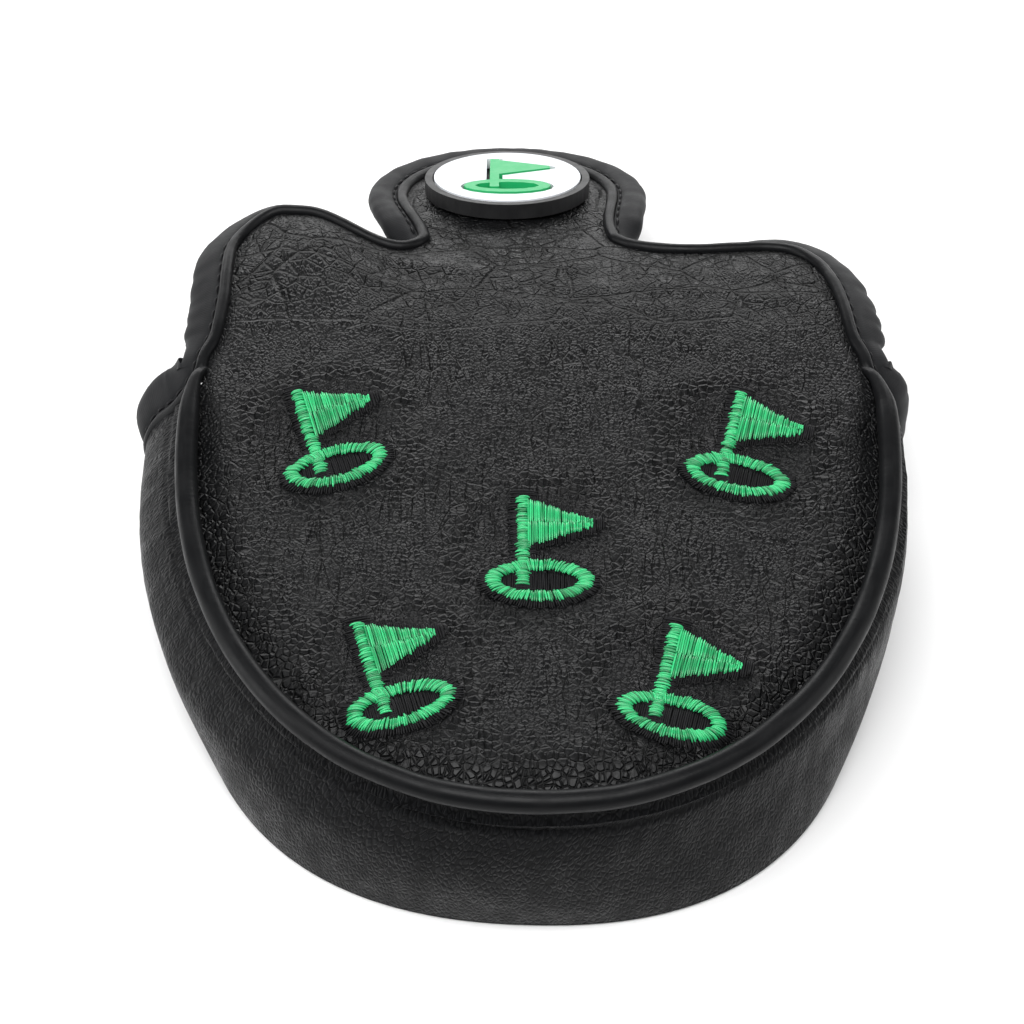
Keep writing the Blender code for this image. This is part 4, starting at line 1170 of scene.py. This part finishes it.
# ---- badge: the CAD's own rubber parts, with their edges rounded ----
def round_badge():
    for node, width in (("badge_dish", 0.00035), ("badge_disc", 0.00022), ("badge_mark", 0.00022)):
        rounding = frame["nodes"][node].modifiers.new("rounding", "BEVEL")
        rounding.width = width
        rounding.segments = 3
        rounding.limit_method = "ANGLE"
        rounding.angle_limit = math.radians(40)


# ---- piping ----
def piping_path():
    """The piping's middle: round the seam, then in along the crown's edge until the bead covers it."""
    angles = np.linspace(0, np.pi, 420)
    x, y = seam(angles)
    end = spline([(x[0], 0.0250), (x[0], 0.0285), (x[0] - 0.0001, 0.0320), *PIPING_END], 8)[::-1]
    flat = np.vstack([end[:-1], np.stack([x, y], -1), mirrored(end)[1:]])
    sink = PIPING_SINK * smooth((flat[:, 1] - PIPING_SINK_FROM_Y) / PIPING_SINK_OVER)
    return resample(settle(np.column_stack([flat, crown(*flat.T) + PIPING_RISE - sink])), 0.0009)


def make_piping():
    path, along = piping_path()
    path = path + 0.00010 * noise(21, path, 0.012)[:, None] * [0, 0, 1]
    near_end = np.minimum(along, along[-1] - along)
    taper = PIPING_TIP + (1 - PIPING_TIP) * smooth(near_end / PIPING_TAPER)
    radii = PIPING_RADIUS * taper * (1 + 0.02 * noise(22, path, 0.009))
    piece = tube("rear_piping", path, radii, FINISHES["piping_leather"], 20)
    dress(piece, "shell", "piping_leather", "rear_piping_cover", "rear_piping_cord")


# ---- stage ----
CAMERA_TARGET = (-0.0044, 0.0075, SEAM_HEIGHT)
CAMERA_DISTANCE = 0.4345
CAMERA_ELEVATION = 52.21
CAMERA_LENS = 92.2
LIGHTS_AIM = (0.0, 0.01, 0.02)
FLOOR_HALF = 4.0


def area_light(name, place, size, power):
    lamp = bpy.data.lights.new(name, "AREA")
    lamp.shape = "RECTANGLE"
    lamp.size, lamp.size_y = size
    lamp.energy = power
    made = bpy.data.objects.new(name, lamp)
    made.location = place
    made.rotation_euler = (Vector(LIGHTS_AIM) - Vector(place)).to_track_quat("-Z", "Y").to_euler()
    made.visible_camera = False
    bpy.context.scene.collection.objects.link(made)


def make_stage():
    scene = bpy.context.scene
    scene.view_settings.view_transform = "Standard"
    floor = bpy.data.meshes.new("floor")
    corners = [(x * FLOOR_HALF, y * FLOOR_HALF, 0) for x, y in ((-1, -1), (1, -1), (1, 1), (-1, 1))]
    floor.from_pydata(corners, [], [(0, 1, 2, 3)])
    paint = Nodes("floor", (0.86, 0.86, 0.86), 0.85)
    grain = paint.noise(paint.place(), 40.0, 3.0)
    paint.link(paint.mix(grain, (0.85, 0.85, 0.85, 1), (0.88, 0.88, 0.88, 1)), "Base Color")
    floor.materials.append(paint.material)
    stage = bpy.data.objects.new("floor", floor)
    scene.collection.objects.link(stage)

    world = bpy.data.worlds.new("studio")
    scene.world = world
    world.use_nodes = True
    background = world.node_tree.nodes["Background"]
    background.inputs["Color"].default_value = (1, 1, 1, 1)
    background.inputs["Strength"].default_value = 0.12

    area_light("overhead", (-0.10, -0.25, 1.1), (1.0, 0.7), 17)
    area_light("back", (0.0, 1.05, 0.34), (1.6, 0.45), 12)
    area_light("left", (-0.95, -0.10, 0.45), (0.5, 0.9), 6)
    area_light("right", (0.95, -0.05, 0.45), (0.5, 0.9), 3)

    camera = bpy.data.cameras.new("camera")
    camera.lens = CAMERA_LENS
    camera.sensor_width = 36
    made = bpy.data.objects.new("camera", camera)
    elevation = math.radians(CAMERA_ELEVATION)
    back = Vector((0, -math.cos(elevation), math.sin(elevation)))
    made.location = Vector(CAMERA_TARGET) + CAMERA_DISTANCE * back
    made.rotation_euler = (math.pi / 2 - elevation, 0, 0)
    scene.collection.objects.link(made)
    scene.camera = made


make_stage()
make_crown()
make_crown_lining()
make_wall()
make_wall_lining()
make_sole()
make_piping()
make_rim()
make_sole_band()
for seed, (name, spot) in enumerate(MARKS.items()):
    make_mark(name, *spot, seed + 50)
round_badge()

for node, slot in NODE_SLOTS.items():
    made = frame["nodes"][node]
    for place in made.material_slots:
        place.material = FINISHES[slot]
